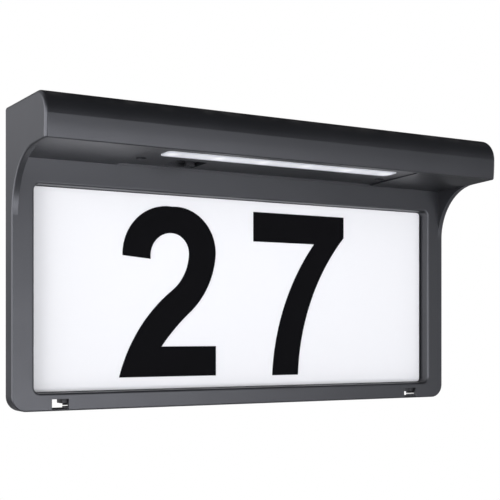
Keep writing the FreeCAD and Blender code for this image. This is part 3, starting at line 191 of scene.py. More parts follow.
class Surface(Tree):
    """A material's tree, with the patterns that several finishes share."""

    def __init__(self, name: str) -> None:
        """Make an empty material and its Object coordinates."""
        self.material = bpy.data.materials.new(name)
        self.material.use_nodes = True
        super().__init__(self.material.node_tree)
        self.place = self.add("ShaderNodeTexCoord", output="Object")
        split = self.node("ShaderNodeSeparateXYZ", sockets={0: self.place})
        self.across, self.deep = (Signal(self, socket) for socket in split.outputs[:2])

    def noise(self, size: float, detail: float = 2.0, stretch: Sequence[float] = (1.0, 1.0, 1.0)) -> Signal:
        """Add a cloudy pattern.

        Args:
            size: Width of its features.
            detail: How many finer layers it has.
            stretch: How much longer its features are along each axis.

        Returns:
            Values around one half.
        """
        scale = [1.0 / share for share in stretch]
        spot = self.add("ShaderNodeMapping", sockets={"Vector": self.place, "Scale": scale})
        sockets = {"Vector": spot, "Scale": 1.0 / size, "Detail": detail}
        return self.add("ShaderNodeTexNoise", sockets=sockets)

    def pebbles(self, size: float) -> Signal:
        """Give the distance to the middle of the nearest pebble of a grain of that size."""
        return self.add("ShaderNodeTexVoronoi", sockets={"Vector": self.place, "Scale": 1.0 / size})

    def facing_up(self) -> Signal:
        """Give how far the surface faces up, from -1 to 1."""
        normal = self.add("ShaderNodeNewGeometry", output="Normal")
        return self.add("ShaderNodeSeparateXYZ", sockets={0: normal}, output="Z")

    def edges(self, radius: float) -> tuple[Signal, Signal]:
        """Find the edges of the surface.

        Args:
            radius: How far from an edge its round reaches.

        Returns:
            A normal that is rounded there, and a mask that rises to 1 at sharp edges.
        """
        rounded = self.add("ShaderNodeBevel", {"samples": EDGE_SAMPLES}, {"Radius": radius})
        true = self.add("ShaderNodeNewGeometry", output="Normal")
        settings = {"operation": "DOT_PRODUCT"}
        same = self.add("ShaderNodeVectorMath", settings, {0: rounded, 1: true}, "Value")
        return rounded, same.ramp(*EDGE_COSINES)

    def bump(self, height: Signal, depth: float, normal: Optional[Signal] = None) -> Signal:
        """Turn a pattern into relief.

        Args:
            height: The pattern, from 0 to 1.
            depth: The relief's depth.
            normal: The normal under the relief.

        Returns:
            The new normal.
        """
        sockets: dict[Union[str, int], Any] = {"Height": height, "Distance": depth, "Strength": 1.0}
        if normal is not None:
            sockets["Normal"] = normal
        return self.add("ShaderNodeBump", sockets=sockets)

    def blend(self, share: Any, first: Any, second: Any) -> Signal:
        """Mix two colours.

        Args:
            share: How much of the second shows, as a number or a signal.
            first: A colour or a signal.
            second: A colour or a signal.

        Returns:
            The mixed colour.
        """
        sockets = {0: share, MIX_FIRST: opaque(first), MIX_SECOND: opaque(second)}
        return self.add("ShaderNodeMix", {"data_type": "RGBA"}, sockets, MIX_RESULT)

    def finish(self, **sockets: Any) -> bpy.types.Material:
        """Add the shader with the given sockets and the output.

        Args:
            sockets: The shader's inputs, with underscores for spaces.

        Returns:
            The finished material.
        """
        named = {name.replace("_", " "): opaque(content) for name, content in sockets.items()}
        shader = self.add("ShaderNodeBsdfPrincipled", sockets=named)
        self.node("ShaderNodeOutputMaterial", sockets={"Surface": shader})
        return self.material


# ---------------------------------------------------------------- finishes


def tinted(colour: Colour, share: float) -> Colour:
    """Make a colour lighter, for a share above 1, or darker."""
    return (colour[0] * share, colour[1] * share, colour[2] * share)


@dataclass(frozen=True)
class MouldedPlastic:
    """Moulded plastic with a fine spark-eroded grain, faint clouds, dust on top and worn edges."""

    name: str
    colour: Colour
    roughness: float = 0.5
    grain: float = 0.5 * MM
    grain_depth: float = 0.012 * MM
    gloss: float = 0.5
    sheen: Colour = (0.93, 0.94, 1.0)
    mottling: float = 0.06
    wear: float = 0.35
    dust: float = 0.1
    dust_colour: Colour = (0.42, 0.40, 0.37)
    edge: float = 0.25 * MM

    def material(self) -> bpy.types.Material:
        """Make the material.

        Returns:
            The material.
        """
        surface = Surface(self.name)
        rounded, edge = surface.edges(self.edge)
        grain = surface.pebbles(self.grain) + surface.noise(self.grain * 0.6, 1.0) * 0.7
        clouds = surface.noise(40 * MM, 3.0, (1.6, 1.0, 1.0))
        scuffs = surface.noise(1.2 * MM, 2.0, (18.0, 1.0, 1.0)).ramp(0.64, 0.74)
        speck = surface.noise(self.grain * 1.4, 0.0).ramp(0.35, 0.75)
        body = surface.blend(clouds.ramp(0.3, 0.7), tinted(self.colour, 1 - self.mottling),
                             tinted(self.colour, 1 + self.mottling))
        body = surface.blend(speck * self.mottling * 2, body, tinted(self.colour, 1.9))
        settled = surface.facing_up().ramp(0.5, 0.95) * surface.noise(9 * MM, 4.0).ramp(0.35, 0.8)
        body = surface.blend(settled * self.dust, body, self.dust_colour)
        body = surface.blend(edge * self.wear, body, tinted(self.colour, 2.6))
        rough = surface.noise(22 * MM, 2.0) * 0.1 + (self.roughness - 0.05)
        rough = rough + settled * (self.dust * 0.8) - edge * 0.08 - scuffs * 0.012
        return surface.finish(Base_Color=body, Roughness=rough,
                              Normal=surface.bump(grain, self.grain_depth, rounded),
                              Specular_IOR_Level=self.gloss, Specular_Tint=self.sheen)


@dataclass(frozen=True)
class WhiteSheet:
    """The smooth white sheet that carries the number, with a faint ripple and a dusty rim."""

    name: str = "white_panel"
    colour: Colour = (0.93, 0.93, 0.935)
    half_width: float = 0.13
    rim: float = 3 * MM

    def material(self) -> bpy.types.Material:
        """Make the material.

        Returns:
            The material.
        """
        surface = Surface(self.name)
        rounded, _ = surface.edges(0.2 * MM)
        ripple = surface.noise(14 * MM, 1.0)
        fibre = surface.noise(0.35 * MM, 2.0)
        rim = abs(surface.across).ramp(self.half_width - self.rim, self.half_width + self.rim)
        body = surface.blend(fibre * 0.12, self.colour, tinted(self.colour, 0.97))
        body = surface.blend(rim * surface.noise(3 * MM, 3.0) * 0.2, body, tinted(self.colour, 0.85))
        return surface.finish(Base_Color=body, Roughness=ripple * 0.08 + 0.34,
                              Normal=surface.bump(ripple + fibre * 0.05, 0.004 * MM, rounded),
                              Specular_IOR_Level=0.3)


@dataclass(frozen=True)
class NumeralFilm:
    """Black film with a fine leathery skin and a cut edge."""

    name: str = "numeral_black"
    colour: Colour = (0.0035, 0.0035, 0.0042)

    def material(self) -> bpy.types.Material:
        """Make the material.

        Returns:
            The material.
        """
        surface = Surface(self.name)
        rounded, edge = surface.edges(0.12 * MM)
        skin = surface.pebbles(0.3 * MM)
        clouds = surface.noise(11 * MM, 2.0)
        body = surface.blend(clouds * 0.5, self.colour, tinted(self.colour, 1.8))
        body = surface.blend(edge * 0.5, body, tinted(self.colour, 5.0))
        return surface.finish(Base_Color=body, Roughness=clouds * 0.1 + 0.5,
                              Normal=surface.bump(skin, 0.008 * MM, rounded), Specular_IOR_Level=0.03)


@dataclass(frozen=True)
class FrostedLens:
    """Milky plastic that glows, most of all in front of each lamp, and less towards its rim."""

    name: str
    lamp_pitch: float
    lamp_depth: float
    half_length: float
    glow: float = 0.6
    half_depth: float = 6.6 * MM
    end_fade: float = 20 * MM
    spot_radius: float = 6 * MM
    lit: Colour = (0.64, 0.65, 0.68)
    faded: Colour = (0.2, 0.21, 0.235)
    spot_light: Colour = (1.15, 1.15, 1.16)

    def material(self) -> bpy.types.Material:
        """Make the material.

        Returns:
            The material.
        """
        surface = Surface(self.name)
        rounded, _ = surface.edges(0.3 * MM)
        frost = surface.noise(0.25 * MM, 2.0)
        haze = surface.noise(8 * MM, 2.0)
        positive = surface.across + self.lamp_pitch * 40
        along = positive.maths("MODULO", self.lamp_pitch) - self.lamp_pitch / 2
        off_line = surface.deep + self.lamp_depth
        off = (along * along + off_line * off_line * 1.4).maths("SQRT")
        spot = off.ramp(self.spot_radius, self.spot_radius * 0.1)
        end = abs(surface.across).ramp(self.half_length - self.end_fade, self.half_length)
        fade = abs(off_line).ramp(self.half_depth * 0.2, self.half_depth).maths("MAXIMUM", end)
        light = surface.blend(fade, self.lit, self.faded)
        light = surface.blend(spot, light, self.spot_light)
        light = surface.blend(haze * 0.15, light, (0.3, 0.32, 0.35))
        body = surface.blend(frost * 0.2, (0.66, 0.67, 0.69), (0.56, 0.57, 0.6))
        return surface.finish(Base_Color=body, Roughness=frost * 0.2 + 0.4, Emission_Color=light,
                              Emission_Strength=self.glow, Normal=surface.bump(frost, 0.01 * MM, rounded))


@dataclass(frozen=True)
class Rubber:
    """Soft black rubber or sealant with a matt, slightly lumpy skin."""

    name: str
    colour: Colour
    lump: float = 2.5 * MM
    roughness: float = 0.7

    def material(self) -> bpy.types.Material:
        """Make the material.

        Returns:
            The material.
        """
        surface = Surface(self.name)
        rounded, edge = surface.edges(0.3 * MM)
        lumps = surface.noise(self.lump, 3.0)
        bloom = surface.noise(self.lump * 4, 4.0).ramp(0.4, 0.8)
        body = surface.blend(bloom * 0.3, self.colour, tinted(self.colour, 2.4))
        body = surface.blend(edge * 0.3, body, tinted(self.colour, 3.0))
        return surface.finish(Base_Color=body, Roughness=lumps * 0.15 + (self.roughness - 0.07),
                              Normal=surface.bump(lumps, 0.05 * MM, rounded), Specular_IOR_Level=0.35)


@dataclass(frozen=True)
class PlatedMetal:
    """Bright metal, or black metal that paints shade, with drawing marks and a little tarnish."""

    name: str
    colour: Colour
    roughness: float = 0.35
    marks: Sequence[float] = (1.0, 1.0, 12.0)
    tarnish: float = 0.35

    def material(self) -> bpy.types.Material:
        """Make the material.

        Returns:
            The material.
        """
        surface = Surface(self.name)
        rounded, edge = surface.edges(0.12 * MM)
        brush = surface.noise(0.18 * MM, 2.0, self.marks)
        stain = surface.noise(1.6 * MM, 4.0).ramp(0.45, 0.75)
        body = surface.blend(brush * 0.4, self.colour, tinted(self.colour, 0.78))
        body = surface.blend(stain * self.tarnish, body, tinted(self.colour, 0.42))
        body = surface.blend(edge * 0.4, body, tinted(self.colour, 1.25))
        return surface.finish(Base_Color=body, Metallic=1.0 - stain * 0.25,
                              Roughness=brush * 0.16 + (self.roughness - 0.08) + stain * 0.18,
                              Normal=surface.bump(brush, 0.012 * MM, rounded))


@dataclass(frozen=True)
class LacqueredBoard:
    """Green lacquer over glass cloth, with the raised copper tracks that show through it."""

    name: str = "circuit_board"
    colour: Colour = (0.012, 0.115, 0.04)
    track: float = 1.6 * MM
    cloth_scale: float = 900.0

    def material(self) -> bpy.types.Material:
        """Make the material.

        Returns:
            The material.
        """
        surface = Surface(self.name)
        rounded, edge = surface.edges(0.15 * MM)
        shift = {"Vector": surface.place, "Location": (0.31, 0.17, 0.05)}
        cells = {"Vector": surface.add("ShaderNodeMapping", sockets=shift), "Scale": 1 / (self.track * 3.2),
                 "Randomness": 0.35}
        walls = surface.add("ShaderNodeTexVoronoi", {"feature": "DISTANCE_TO_EDGE"}, cells)
        tracks = walls.ramp(0.12, 0.08)
        cloth = surface.add("ShaderNodeTexWave", {"wave_type": "BANDS", "bands_direction": "DIAGONAL"},
                            {"Vector": surface.place, "Scale": self.cloth_scale, "Distortion": 1.0})
        body = surface.blend(cloth * 0.25, self.colour, tinted(self.colour, 0.7))
        body = surface.blend(tracks * 0.75, body, (0.045, 0.24, 0.07))
        body = surface.blend(edge * 0.5, body, (0.35, 0.33, 0.2))
        relief = surface.bump(tracks + cloth * 0.15, 0.03 * MM, rounded)
        return surface.finish(Base_Color=body, Roughness=surface.noise(6 * MM, 2.0) * 0.1 + 0.25,
                              Normal=relief, Coat_Weight=0.3)


@dataclass(frozen=True)
class LitLamp:
    """A lamp's pale case, or the yellow phosphor in it."""

    name: str
    colour: Colour
    glow: float

    def material(self) -> bpy.types.Material:
        """Make the material.

        Returns:
            The material.
        """
        surface = Surface(self.name)
        rounded, _ = surface.edges(0.1 * MM)
        powder = surface.noise(0.12 * MM, 3.0)
        body = surface.blend(powder * 0.5, self.colour, tinted(self.colour, 0.7))
        return surface.finish(Base_Color=body, Roughness=powder * 0.2 + 0.35, Emission_Color=body,
                              Emission_Strength=self.glow, Normal=surface.bump(powder, 0.01 * MM, rounded))


@dataclass(frozen=True)
class CellSleeve:
    """A battery cell's shrunk sleeve: a green coat, a black band at one end, and bare metal caps."""

    name: str
    first_start: float
    cell_step: float
    cell_length: float
    sleeve: Colour = (0.03, 0.19, 0.065)
    band: Colour = (0.02, 0.02, 0.022)
    metal: Colour = (0.55, 0.54, 0.52)
    bare: float = 0.7 * MM
    band_width: float = 11 * MM

    def material(self) -> bpy.types.Material:
        """Make the material.

        Returns:
            The material.
        """
        surface = Surface(self.name)
        rounded, _ = surface.edges(0.4 * MM)
        along = (surface.across - self.first_start).maths("MODULO", self.cell_step)
        cap = along.below(self.bare).maths("MAXIMUM", along.above(self.cell_length - self.bare))
        banded = along.above(self.cell_length - self.band_width)
        creases = surface.noise(2.5 * MM, 2.0, (1.0, 5.0, 5.0))
        body = surface.blend(creases * 0.4, self.sleeve, tinted(self.sleeve, 1.6))
        body = surface.blend(banded, body, self.band)
        body = surface.blend(cap, body, self.metal)
        return surface.finish(Base_Color=body, Metallic=cap, Roughness=creases * 0.15 + 0.22,
                              Normal=surface.bump(creases, 0.04 * MM, rounded))


@dataclass(frozen=True)
class Silicon:
    """Blue-black solar cells with the drifting shade of crystal grains."""

    name: str = "solar_silicon"
    colour: Colour = (0.006, 0.009, 0.03)
    crystal: float = 5 * MM

    def material(self) -> bpy.types.Material:
        """Make the material.

        Returns:
            The material.
        """
        surface = Surface(self.name)
        cells = {"Vector": surface.place, "Scale": 1 / self.crystal}
        crystals = surface.add("ShaderNodeTexVoronoi", sockets=cells, output="Color")
        shade = surface.add("ShaderNodeSeparateColor", sockets={0: crystals})
        haze = surface.noise(1 * MM, 2.0)
        body = surface.blend(shade * 0.6, self.colour, (0.012, 0.022, 0.075))
        body = surface.blend(haze * 0.2, body, (0.02, 0.03, 0.07))
        return surface.finish(Base_Color=body, Roughness=shade * 0.15 + 0.25,
                              Normal=surface.bump(haze, 0.005 * MM), Coat_Weight=0.4)


@dataclass(frozen=True)
class ClearGlass:
    """Clear glass with a faint pressed texture and patches of dust."""

    name: str = "solar_glass"

    def material(self) -> bpy.types.Material:
        """Make the material.

        Returns:
            The material.
        """
        surface = Surface(self.name)
        pressed = surface.pebbles(0.9 * MM)
        smear = surface.noise(30 * MM, 4.0).ramp(0.45, 0.8)
        return surface.finish(Base_Color=surface.blend(smear * 0.3, (0.78, 0.83, 0.86), (0.6, 0.62, 0.62)),
                              Roughness=smear * 0.14 + 0.05, Alpha=smear * 0.12 + 0.2,
                              Normal=surface.bump(pressed, 0.006 * MM), IOR=1.5, Coat_Weight=0.6)


@dataclass(frozen=True)
class WireSleeve:
    """Red wire insulation with ribs, dull patches and dark rubbed marks."""

    name: str
    red: Colour = (0.30, 0.018, 0.014)
    mark: Colour = (0.014, 0.014, 0.015)

    def material(self) -> bpy.types.Material:
        """Make the material.

        Returns:
            The material.
        """
        surface = Surface(self.name)
        ribs = surface.noise(0.7 * MM, 2.0)
        dull = surface.noise(5 * MM, 3.0)
        share = surface.noise(0.9 * MM, 1.0).ramp(0.2, 0.8)
        red = surface.blend(share * 0.3, self.red, tinted(self.red, 0.6))
        body = surface.blend(dull * 0.25, red, self.mark)
        return surface.finish(Base_Color=body, Roughness=dull * 0.2 + 0.35,
                              Normal=surface.bump(ribs, 0.02 * MM), Specular_IOR_Level=0.45)


# ---------------------------------------------------------------- pieces that repeat


class Shape(Enum):
    """What a lattice of small pieces repeats."""

    BLOCK = "GeometryNodeMeshCube"
    DOME = "GeometryNodeMeshUVSphere"
    DISC = "GeometryNodeMeshCylinder"


class Growth(Tree):
    """A Geometry Nodes tree with named inputs, grown into a plain mesh."""

    def __init__(self, name: str, inputs: Mapping[str, tuple[str, Any]]) -> None:
        """Make the tree and its inputs.

        Args:
            name: The tree's name.
            inputs: Each input's type and value, by name.
        """
        group = bpy.data.node_groups.new(name, "GeometryNodeTree")
        super().__init__(group)
        self.identifiers: dict[str, str] = {}
        self.values = {key: content for key, (_, content) in inputs.items()}
        for key, (kind, _) in inputs.items():
            item = group.interface.new_socket(key, in_out="INPUT", socket_type=kind)
            self.identifiers[key] = item.identifier
        group.interface.new_socket("Geometry", in_out="OUTPUT", socket_type="NodeSocketGeometry")
        self.entry = self.node("NodeGroupInput")

    def given(self, name: str) -> Signal:
        """Take one of the tree's inputs."""
        return Signal(self, self.entry.outputs[name])

    def grow(self, name: str, shape: Signal, material: bpy.types.Material) -> bpy.types.Object:
        """End the tree, run it and keep its mesh.

        Args:
            name: The piece's name.
            shape: The geometry to keep.
            material: What the piece is made of.

        Returns:
            An object with a plain mesh.
        """
        whole = self.add("GeometryNodeRealizeInstances", sockets={0: shape})
        dressed = self.add("GeometryNodeSetMaterial", sockets={"Geometry": whole, "Material": material})
        self.node("NodeGroupOutput", sockets={0: dressed})
        carrier = bpy.data.objects.new(name, bpy.data.meshes.new(name + "_seed"))
        bpy.context.scene.collection.objects.link(carrier)
        modifier = carrier.modifiers.new("Growth", "NODES")
        modifier.node_group = self.tree
        for key, identifier in self.identifiers.items():
            modifier[identifier] = self.values[key]
        evaluated = carrier.evaluated_get(bpy.context.evaluated_depsgraph_get())
        mesh = bpy.data.meshes.new_from_object(evaluated)
        mesh.name = name
        carrier.modifiers.remove(modifier)
        carrier.data = mesh
        if not mesh.materials:
            mesh.materials.append(material)
        return carrier


@dataclass(frozen=True)
class Lattice:
    """Small pieces in rows: a first place, two steps with their counts, and a size."""

    first: Vector
    step: Vector
    count: int
    size: Vector
    shape: Shape = Shape.BLOCK
    row_step: Vector = field(default_factory=Vector)
    rows: int = 1

    def build(self, name: str, material: bpy.types.Material) -> bpy.types.Object:
        """Grow the pieces as one mesh.

        Args:
            name: The piece's name.
            material: What it is made of.

        Returns:
            The object.
        """
        vector, whole = "NodeSocketVector", "NodeSocketInt"
        growth = Growth(name + "_lattice", {
            "First": (vector, self.first), "Step": (vector, self.step), "Count": (whole, self.count),
            "Row Step": (vector, self.row_step), "Rows": (whole, self.rows), "Size": (vector, self.size),
        })
        bit = growth.add(self.shape.value, sockets=self._unit_sockets(), output="Mesh")
        sized = growth.add("GeometryNodeTransform", sockets={
            "Geometry": bit, "Scale": growth.given("Size")})
        row = growth.add("GeometryNodeMeshLine", sockets={
            "Start Location": growth.given("First"), "Offset": growth.given("Step"),
            "Count": growth.given("Count")})
        column = growth.add("GeometryNodeMeshLine", sockets={
            "Count": growth.given("Rows"), "Offset": growth.given("Row Step")})
        filled = growth.add("GeometryNodeInstanceOnPoints", sockets={"Points": row, "Instance": sized})
        stacked = growth.add("GeometryNodeInstanceOnPoints", sockets={"Points": column, "Instance": filled})
        return growth.grow(name, stacked, material)

    def _unit_sockets(self) -> dict[Union[str, int], Any]:
        """Give the sockets that make the shape one unit wide, deep and high."""
        if self.shape is Shape.BLOCK:
            return {"Size": (1.0, 1.0, 1.0)}
        if self.shape is Shape.DOME:
            return {"Radius": 0.5, "Segments": 16, "Rings": 8}
        return {"Radius": 0.5, "Depth": 1.0, "Vertices": 32}


@dataclass(frozen=True)
class Coil:
    """A round wire wound round a line along X, such as a spring."""

    start: Vector
    turns: float
    pitch: float
    radii: tuple[float, float]
    wire: float

    def build(self, name: str, material: bpy.types.Material) -> bpy.types.Object:
        """Grow the coil.

        Args:
            name: The piece's name.
            material: What it is made of.

        Returns:
            The object.
        """
        number = "NodeSocketFloat"
        growth = Growth(name + "_coil", {
            "Start": ("NodeSocketVector", self.start), "Turns": (number, self.turns),
            "Height": (number, self.turns * self.pitch), "First Radius": (number, self.radii[0]),
            "Last Radius": (number, self.radii[1]), "Wire": (number, self.wire),
        })
        spiral = growth.add("GeometryNodeCurveSpiral", sockets={
            "Resolution": STEPS_PER_TURN, "Rotations": growth.given("Turns"),
            "Start Radius": growth.given("First Radius"), "End Radius": growth.given("Last Radius"),
            "Height": growth.given("Height")})
        section = growth.add("GeometryNodeCurvePrimitiveCircle", sockets={
            "Resolution": WIRE_SIDES, "Radius": growth.given("Wire")})
        tube = growth.add("GeometryNodeCurveToMesh", sockets={
            "Curve": spiral, "Profile Curve": section, "Fill Caps": True})
        placed = growth.add("GeometryNodeTransform", sockets={
            "Geometry": tube, "Rotation": (0.0, math.pi / 2, 0.0), "Translation": growth.given("Start")})
        return growth.grow(name, placed, material)


def settle(piece: bpy.types.Object, body: Body) -> None:
    """Let a new piece ride on a body, and log its faces.

    Args:
        piece: The piece, already in place.
        body: What it moves with.
    """
    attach(piece, body.value)
    log.info("%s: %d faces, rides on %s", piece.name, len(piece.data.polygons), body.value)


def dress(node: str, material: bpy.types.Material) -> None:
    """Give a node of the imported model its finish.

    Args:
        node: The node's name.
        material: Its finish.
    """
    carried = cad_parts[node]
    for number in range(len(carried.material_slots)):
        carried.material_slots[number].material = material
    log.info("%s: finished as %s", node, material.name)


# ---------------------------------------------------------------- sub-assemblies


@dataclass
class WallSide:
    """The plate on the wall with the number panel."""

    plate: MouldedPlastic = MouldedPlastic("plate_plastic", (0.028, 0.0282, 0.03), 0.5, 0.8 * MM, dust=0.05)
    panel: WhiteSheet = WhiteSheet()
    film: NumeralFilm = NumeralFilm()

    def build(self) -> None:
        """Dress the plate, the panel and the numerals."""
        dress("wall_plate", self.plate.material())
        dress("number_panel", self.panel.material())
        film = self.film.material()
        dress("numeral_2", film)
        dress("numeral_7", film)


@dataclass
class Housing:
    """The moulded front with its hood."""

    shell: MouldedPlastic = MouldedPlastic("housing_plastic", (0.0105, 0.011, 0.0125), 0.36, 0.45 * MM,
                                           gloss=0.95)

    def build(self) -> None:
        """Dress the front."""
        dress("front_housing", self.shell.material())


@dataclass
class LightModule:
    """The cover under the hood with the lens, the lamps and their board."""

    cover: MouldedPlastic = MouldedPlastic("cover_plastic", (0.0098, 0.0102, 0.0115), 0.33, 0.35 * MM,
                                           gloss=0.6)
    reflector: MouldedPlastic = MouldedPlastic("reflector_white", (0.85, 0.85, 0.84), 0.4, 0.6 * MM,
                                               dust=0.0)
    lamps: int = 6
    face_share: float = 0.62
    face_thickness: float = 0.2 * MM
    pad: Vector = field(default_factory=lambda: Vector((1.1, 1.5, 0.35)) * MM)
    pad_gap: float = 4 * MM

    def build(self) -> None:
        """Dress the module, and add the lamps' lit faces and the solder on their board."""
        lamp_low, lamp_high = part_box("leds")
        side = lamp_high.y - lamp_low.y
        pitch = (lamp_high.x - lamp_low.x - side) / (self.lamps - 1)
        middle = (lamp_low.y + lamp_high.y) / 2
        dress("module_cover", self.cover.material())
        dress("module_seal", Rubber("black_rubber", (0.02, 0.02, 0.021)).material())
        lens_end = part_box("light_lens")[1].x
        dress("light_lens", FrostedLens("frosted_lens", pitch, -middle, lens_end).material())
        dress("led_reflector", self.reflector.material())
        dress("led_board", LacqueredBoard().material())
        dress("leds", LitLamp("lamp_case", (0.85, 0.83, 0.7), 0.1).material())
        first_lamp, step = lamp_low.x + side / 2, Vector((pitch, 0, 0))
        first = Vector((first_lamp, middle, lamp_low.z + self.face_thickness))
        phosphor = LitLamp("lamp_phosphor", (0.95, 0.72, 0.12), 1.0).material()
        disc = Vector((side * self.face_share, side * self.face_share, self.face_thickness))
        faces = Lattice(first, step, self.lamps, disc, Shape.DISC)
        settle(faces.build("lamp_faces", phosphor), Body.FRONT)
        solder = PlatedMetal("solder", (0.62, 0.61, 0.6), 0.3).material()
        first = Vector((first_lamp - self.pad_gap / 2, middle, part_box("led_board")[1].z))
        pads = Lattice(first, step, self.lamps, self.pad, Shape.DOME, Vector((self.pad_gap, 0, 0)), 2)
        settle(pads.build("lamp_solder", solder), Body.FRONT)
        # The cover screws are made black as painted shade: their dark heads stand in for the shade in the
        # screw holes.
        dress("cover_screws", PlatedMetal("screw_black", (0.03, 0.03, 0.031), 0.45).material())
        screws = PlatedMetal("screw_steel", (0.5, 0.5, 0.51), 0.4).material()
        for node in ("led_board_screws", "control_board_screws"):
            dress(node, screws)


@dataclass
class Electronics:
    """The control board, its parts, the switch and the wires."""

    case: MouldedPlastic = MouldedPlastic("component_black", (0.018, 0.018, 0.02), 0.45, 0.3 * MM, dust=0.0)
    knob: MouldedPlastic = MouldedPlastic("knob_plastic", (0.02, 0.02, 0.022), 0.38, 0.4 * MM, dust=0.0)
    pins: int = 9
    pin: Vector = field(default_factory=lambda: Vector((1.2, 1.2, 0.9)) * MM)
    pin_inset: float = 1.6 * MM

    def build(self) -> None:
        """Dress the boards, the switch and the wires, and solder the row of pins."""
        dress("control_board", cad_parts["led_board"].material_slots[0].material)
        case = self.case.material()
        for node in ("board_parts", "switch_body"):
            dress(node, case)
        dress("switch_knob", self.knob.material())
        sleeve = WireSleeve("wire_insulation").material()
        for node in ("solar_leads", "led_leads", "battery_leads"):
            dress(node, sleeve)
        low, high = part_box("control_board")
        step = (high.x - low.x) / (self.pins + 1)
        first = Vector((low.x + step, low.y + self.pin_inset, high.z))
        solder = PlatedMetal("pin_solder", (0.62, 0.61, 0.6), 0.28).material()
        pins = Lattice(first, Vector((step, 0, 0)), self.pins, self.pin, Shape.DOME)
        settle(pins.build("board_solder", solder), Body.FRONT)


@dataclass
class Battery:
    """The holder with its two cells, their contacts and a spring."""

    holder: MouldedPlastic = MouldedPlastic("holder_plastic", (0.02, 0.02, 0.021), 0.5, 0.6 * MM, dust=0.0)
    nub: float = 1 * MM
    plate: float = 0.4 * MM
    spring_wire: float = 0.22 * MM
    spring_turns: float = 2.5
    spring_radii: tuple[float, float] = (5.2 * MM, 3.2 * MM)

    def build(self) -> None:
        """Dress the holder and cells, and wind the spring behind the first cell."""
        dress("battery_holder", self.holder.material())
        low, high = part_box("battery_cell_left")
        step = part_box("battery_cell_right")[0].x - low.x
        sleeve = CellSleeve("cell_sleeve", low.x, step, high.x - low.x - self.nub).material()
        for node in ("battery_cell_left", "battery_cell_right"):
            dress(node, sleeve)
        metal = PlatedMetal("contact_metal", (0.66, 0.64, 0.58), 0.3, tarnish=0.15).material()
        dress("battery_contacts", metal)
        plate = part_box("battery_contacts")[0].x + self.plate
        start = Vector((plate + self.spring_wire, (low.y + high.y) / 2, (low.z + high.z) / 2))
        pitch = (low.x - plate - 2 * self.spring_wire) / self.spring_turns
        spring = Coil(start, self.spring_turns, pitch, self.spring_radii, self.spring_wire)
        settle(spring.build("contact_spring", metal), Body.FRONT)


@dataclass
class SolarPanel:
    """The solar panel in the top of the hood."""

    cells: int = 8
    cell_gap: float = 1.2 * MM
    fingers: int = 15
    finger: float = 0.22 * MM
    bar: float = 1.2 * MM
    proud: float = 0.04 * MM
    backing: MouldedPlastic = MouldedPlastic("backing_white", (0.7, 0.71, 0.73), 0.45, 0.7 * MM, dust=0.0)

    def build(self) -> None:
        """Dress the panel, and print the silver lines on its cells."""
        dress("solar_backing", self.backing.material())
        dress("solar_cells", Silicon().material())
        dress("solar_glass", ClearGlass().material())
        dress("solar_seal", Rubber("sealant_black", (0.022, 0.022, 0.023), 3 * MM, 0.6).material())
        low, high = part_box("solar_cells")
        silver = PlatedMetal("solar_silver", (0.75, 0.76, 0.78), 0.35, (8.0, 1.0, 1.0), 0.1).material()
        depth = high.y - low.y
        gap = depth / (self.fingers + 1)
        across = high.x - low.x
        first = Vector(((low.x + high.x) / 2, low.y + gap, high.z))
        lines = Lattice(first, Vector((0, gap, 0)), self.fingers, Vector((across, self.finger, self.proud)))
        settle(lines.build("solar_fingers", silver), Body.FRONT)
        step = (across + self.cell_gap) / self.cells
        first = Vector((low.x + (step - self.cell_gap) / 2, (low.y + high.y) / 2, high.z))
        bars = Lattice(first, Vector((step, 0, 0)), self.cells, Vector((self.bar, depth, self.proud * 1.5)))
        settle(bars.build("solar_bars", silver), Body.FRONT)


# ---------------------------------------------------------------- camera, light and floor


